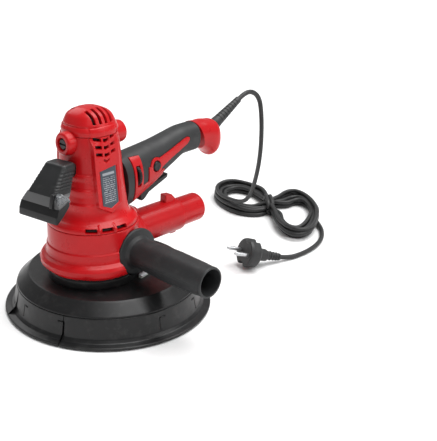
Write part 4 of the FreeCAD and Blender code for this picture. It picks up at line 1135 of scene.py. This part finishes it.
def make_dust_pipe():
    """Red outlet pipe with a fixed lug, and the nozzle that twists on its spigot with two lugs."""
    tube = soft_outline([(15, 27, 0.4), (19.3, 27, 0.4), (19.5, 60, 0), (19.5, 104.4, 0.7),
                         (17.0, 104.4, 0.3),
                         (17.0, 84.5, 0.2), (15, 84.5, 0.2)], 4)
    grids = closed_lathe(resample_closed(tube, 4), (0, 0, PIPE_Z), "x", 128)
    for outline, half in (
            ([(28.5, 93.5), (28.8, 104.3), (38.5, 102.6), (47, 93.5)], 5.0),
            ([(84.5, 93.5), (85.0, 104.3), (95, 103.0), (103.8, 93.5)], 4.9),
            ([(92, 58), (93.5, 54.4), (102, 54.4), (103.8, 58)], 4.4)):
        ring = soft_outline([(x, z, 1.2) for x, z in outline], 5, per_run=2)
        middle = ring.mean(0)
        layers = []
        for y, grow in ((-half, 0.86), (0.8 - half, 1.0), (half - 0.8, 1.0), (half, 0.86)):
            lug = middle + (ring - middle) * grow
            layers.append(np.stack([lug[:, 0], np.full(len(lug), y), lug[:, 1]], -1))
        grids.append(skin(layers))
    build("outlet_pipe", grids, finish("red"), "housing", ["dust_pipe"], attribute="recess")
    nozzle = soft_outline([(14.2, 84.8, 0.2), (16.9, 84.8, 0.2), (16.9, 105.2, 0), (16.7, 137.6, 0.8),
                           (15.9, 139.4, 0.7), (14.2, 139.4, 0.5)], 5)
    grids = closed_lathe(resample_closed(nozzle, 3), (0, 0, PIPE_Z), "x", 144)
    build("outlet_nozzle", grids, finish("red"), "dust_nozzle", ["dust_nozzle"],
          attribute="recess")


# ------------------------------------------------------------------ front lamp
LAMP_TURN = math.radians(8.0)


def lamp_place(ahead, near, z):
    """Lamp point from its reach ahead of the motor axis, its shift to the near side and its height."""
    c, s = math.cos(LAMP_TURN), math.sin(LAMP_TURN)
    return np.stack([MOTOR_X - ahead * c + near * s, -ahead * s - near * c, z + 0 * ahead], -1)


def lamp_ring(front, rear, half, round_by=4.0):
    """Rounded rectangle between a front and a rear point (reach ahead, z), half wide to each side."""
    front, rear = np.array(front, float), np.array(rear, float)
    deep = np.linalg.norm(rear - front) / 2
    middle, aim = (front + rear) / 2, (rear - front) / (2 * deep)
    flat = soft_outline([(-deep, -half, round_by), (deep, -half, round_by * 0.6),
                         (deep, half, round_by * 0.6),
                         (-deep, half, round_by)], 8, per_run=3)
    return middle[0] + flat[:, 0] * aim[0], flat[:, 1], middle[1] + flat[:, 0] * aim[1]


def lamp_prism(corners, low, high, round_by):
    """Rounded polygon (reach ahead, z) carried across the lamp from one side to the other."""
    ring = soft_outline([(ahead, z, round_by) for ahead, z in corners], 5, per_run=2)
    middle = ring.mean(0)
    layers = []
    for near, grow in ((low, 0.94), (low + 0.6, 0.99), (low + 1.6, 1.0), (high - 1.6, 1.0),
                       (high - 0.6, 0.99),
                       (high, 0.94)):
        face = middle + (ring - middle) * grow
        layers.append(lamp_place(face[:, 0], near + 0 * face[:, 0], face[:, 1]))
    return skin(layers)


def make_lamp():
    """Wedge-shaped front lamp: ribbed hood, chamfer band coloured pale as a painted highlight, dark base and
    clear side windows.
    """
    keys = [0, 0.03, 0.09, 0.5, 1.0]
    front = np.array([(50.4, 177.2), (52.6, 176.6), (54.0, 174.6), (64.0, 163.2), (73.4, 151.6)])
    rear = np.array([(37.5, 177.0), (36.0, 176.2), (35.6, 174.0), (41.6, 162.6), (48.4, 151.0)])
    half = [10.6, 12.6, 13.6, 16.0, 18.6]
    rings = []
    count = 46
    for t in np.linspace(0, 1, count):
        a = [smooth_curve(keys, front[:, 0], t), smooth_curve(keys, front[:, 1], t)]
        b = [smooth_curve(keys, rear[:, 0], t), smooth_curve(keys, rear[:, 1], t)]
        ahead, near, z = lamp_ring(a, b, float(smooth_curve(keys, half, t)), 4.5)
        flank = step(0.8, 0.97, np.abs(near) / np.abs(near).max())
        rib = (math.sin(t * 2 * math.pi * 9) > 0.2) * step(0.12, 0.2, t) * (1 - step(0.78, 0.82, t))
        rings.append(lamp_place(ahead, near - np.sign(near) * 0.7 * rib * flank, z))
    build("lamp_hood", [skin(rings)], finish("lamp"), "housing", ["lamp_shell"], angle=40,
          attribute="recess")
    build("lamp_foot", [lamp_prism([(79, 125.3), (78, 134), (74.5, 141.2), (60, 146.8), (58.9, 142),
                                    (63, 138),
                                    (68, 133.2)], -26, 26, 1.2)], finish("knob"), "housing", ["lamp_base"])
    # chamfer band under the hood, coloured pale grey as a painted highlight
    shine = [((73.2, 151.8), (49, 151.2), 18.4), ((73.8, 148.6), (53, 148.8), 20.8),
             ((74.5, 142.6), (60, 146.8), 25.2), ((74.7, 141.4), (60.4, 145.6), 25.6)]
    build("lamp_brow", [skin([lamp_place(*lamp_ring(a, b, wide, 2)) for a, b, wide in shine])],
          finish("pale"),
          "housing", ())
    window = [(72, 153), (66, 154.5), (58, 149.5), (56, 144.5), (60.5, 139.5), (66.5, 138.5), (73, 142.5)]
    hidden = [(67, 150), (62, 149), (57, 145), (60.5, 139.5), (66.5, 138.5), (70, 142.5)]
    build("lamp_window", [lamp_prism(window, 17.0, 24.0, 1.0), lamp_prism(hidden, -22.5, -17.0, 1.0)],
          finish("clear"), "housing", ["lamp_lens"])
    build("lamp_latch", [lamp_prism([(70, 155.5), (74.6, 155), (77.6, 141.5), (73, 141)], 15.6, 19.6, 1.0)],
          finish("knob"), "housing", ())
    build("lamp_neck", [lamp_prism([(40, 173), (29, 173), (29, 160), (46, 160)], -8, 8, 2.0)], finish("knob"),
          "housing", ["lamp_bracket"])


def paint_cad_pieces():
    """Gives every packed piece that stays visible its finish."""
    for name, nodes in CAD_FINISH.items():
        for node in nodes:
            item = frame["nodes"][node]
            item.data.materials.clear()
            item.data.materials.append(finish(name))


# ------------------------------------------------------------------ operators
STEPS = (
    ("stage", "Stage", "Floor, lights and camera", make_stage),
    ("cord", "Cord", "Mains cord, hank, wrap and plug", make_cord),
    ("shroud", "Shroud", "Cover, rim, front segment and light ring", make_shroud),
    ("gear_housing", "Gear housing", "Red drum and bell", make_gear_housing),
    ("motor_case", "Motor case", "Motor column, bosses and rating plate", make_motor_case),
    ("top_cap", "Top cap", "Domed vented cap", make_top_cap),
    ("brush_caps", "Brush caps", "Slotted brush caps", make_brush_caps),
    ("main_handle", "Main handle", "Grip shells, trim, tail cap and controls", make_handle),
    ("side_handle", "Side handle", "Turned side grip", make_side_handle),
    ("dust_pipe", "Dust pipe", "Outlet pipe and twist nozzle", make_dust_pipe),
    ("lamp", "Lamp", "Front work lamp", make_lamp),
    ("cad_finish", "Frame finishes", "Finishes of the packed pieces that stay", paint_cad_pieces),
)


def step_operator(key, label, text, action):
    """An Operator class that runs one making function."""
    def execute(self, context):
        action()
        return {"FINISHED"}
    return type("SANDER_OT_" + key, (Operator,), {
        "bl_idname": "sander." + key, "bl_label": label, "bl_description": text, "__doc__": text,
        "bl_options": {"REGISTER", "UNDO"}, "execute": execute})


class SANDER_PT_panel(Panel):
    """Lists the steps that build the sander."""
    bl_label = "Drywall sander"
    bl_idname = "SANDER_PT_panel"
    bl_space_type = "VIEW_3D"
    bl_region_type = "UI"
    bl_category = "Sander"

    def draw(self, context):
        for key, label, text, action in STEPS:
            self.layout.operator("sander." + key, text=label)


OPERATORS = [step_operator(*item) for item in STEPS]
CLASSES = [SanderSizes, SanderColours, *OPERATORS, SANDER_PT_panel]


def register():
    for item in CLASSES:
        bpy.utils.register_class(item)
    bpy.types.Scene.sander_sizes = PointerProperty(type=SanderSizes)
    bpy.types.Scene.sander_colours = PointerProperty(type=SanderColours)


def unregister():
    del bpy.types.Scene.sander_colours
    del bpy.types.Scene.sander_sizes
    for item in reversed(CLASSES):
        bpy.utils.unregister_class(item)


def main():
    register()
    for key, label, text, action in STEPS:
        getattr(bpy.ops.sander, key)()


if __name__ == "__main__":
    main()
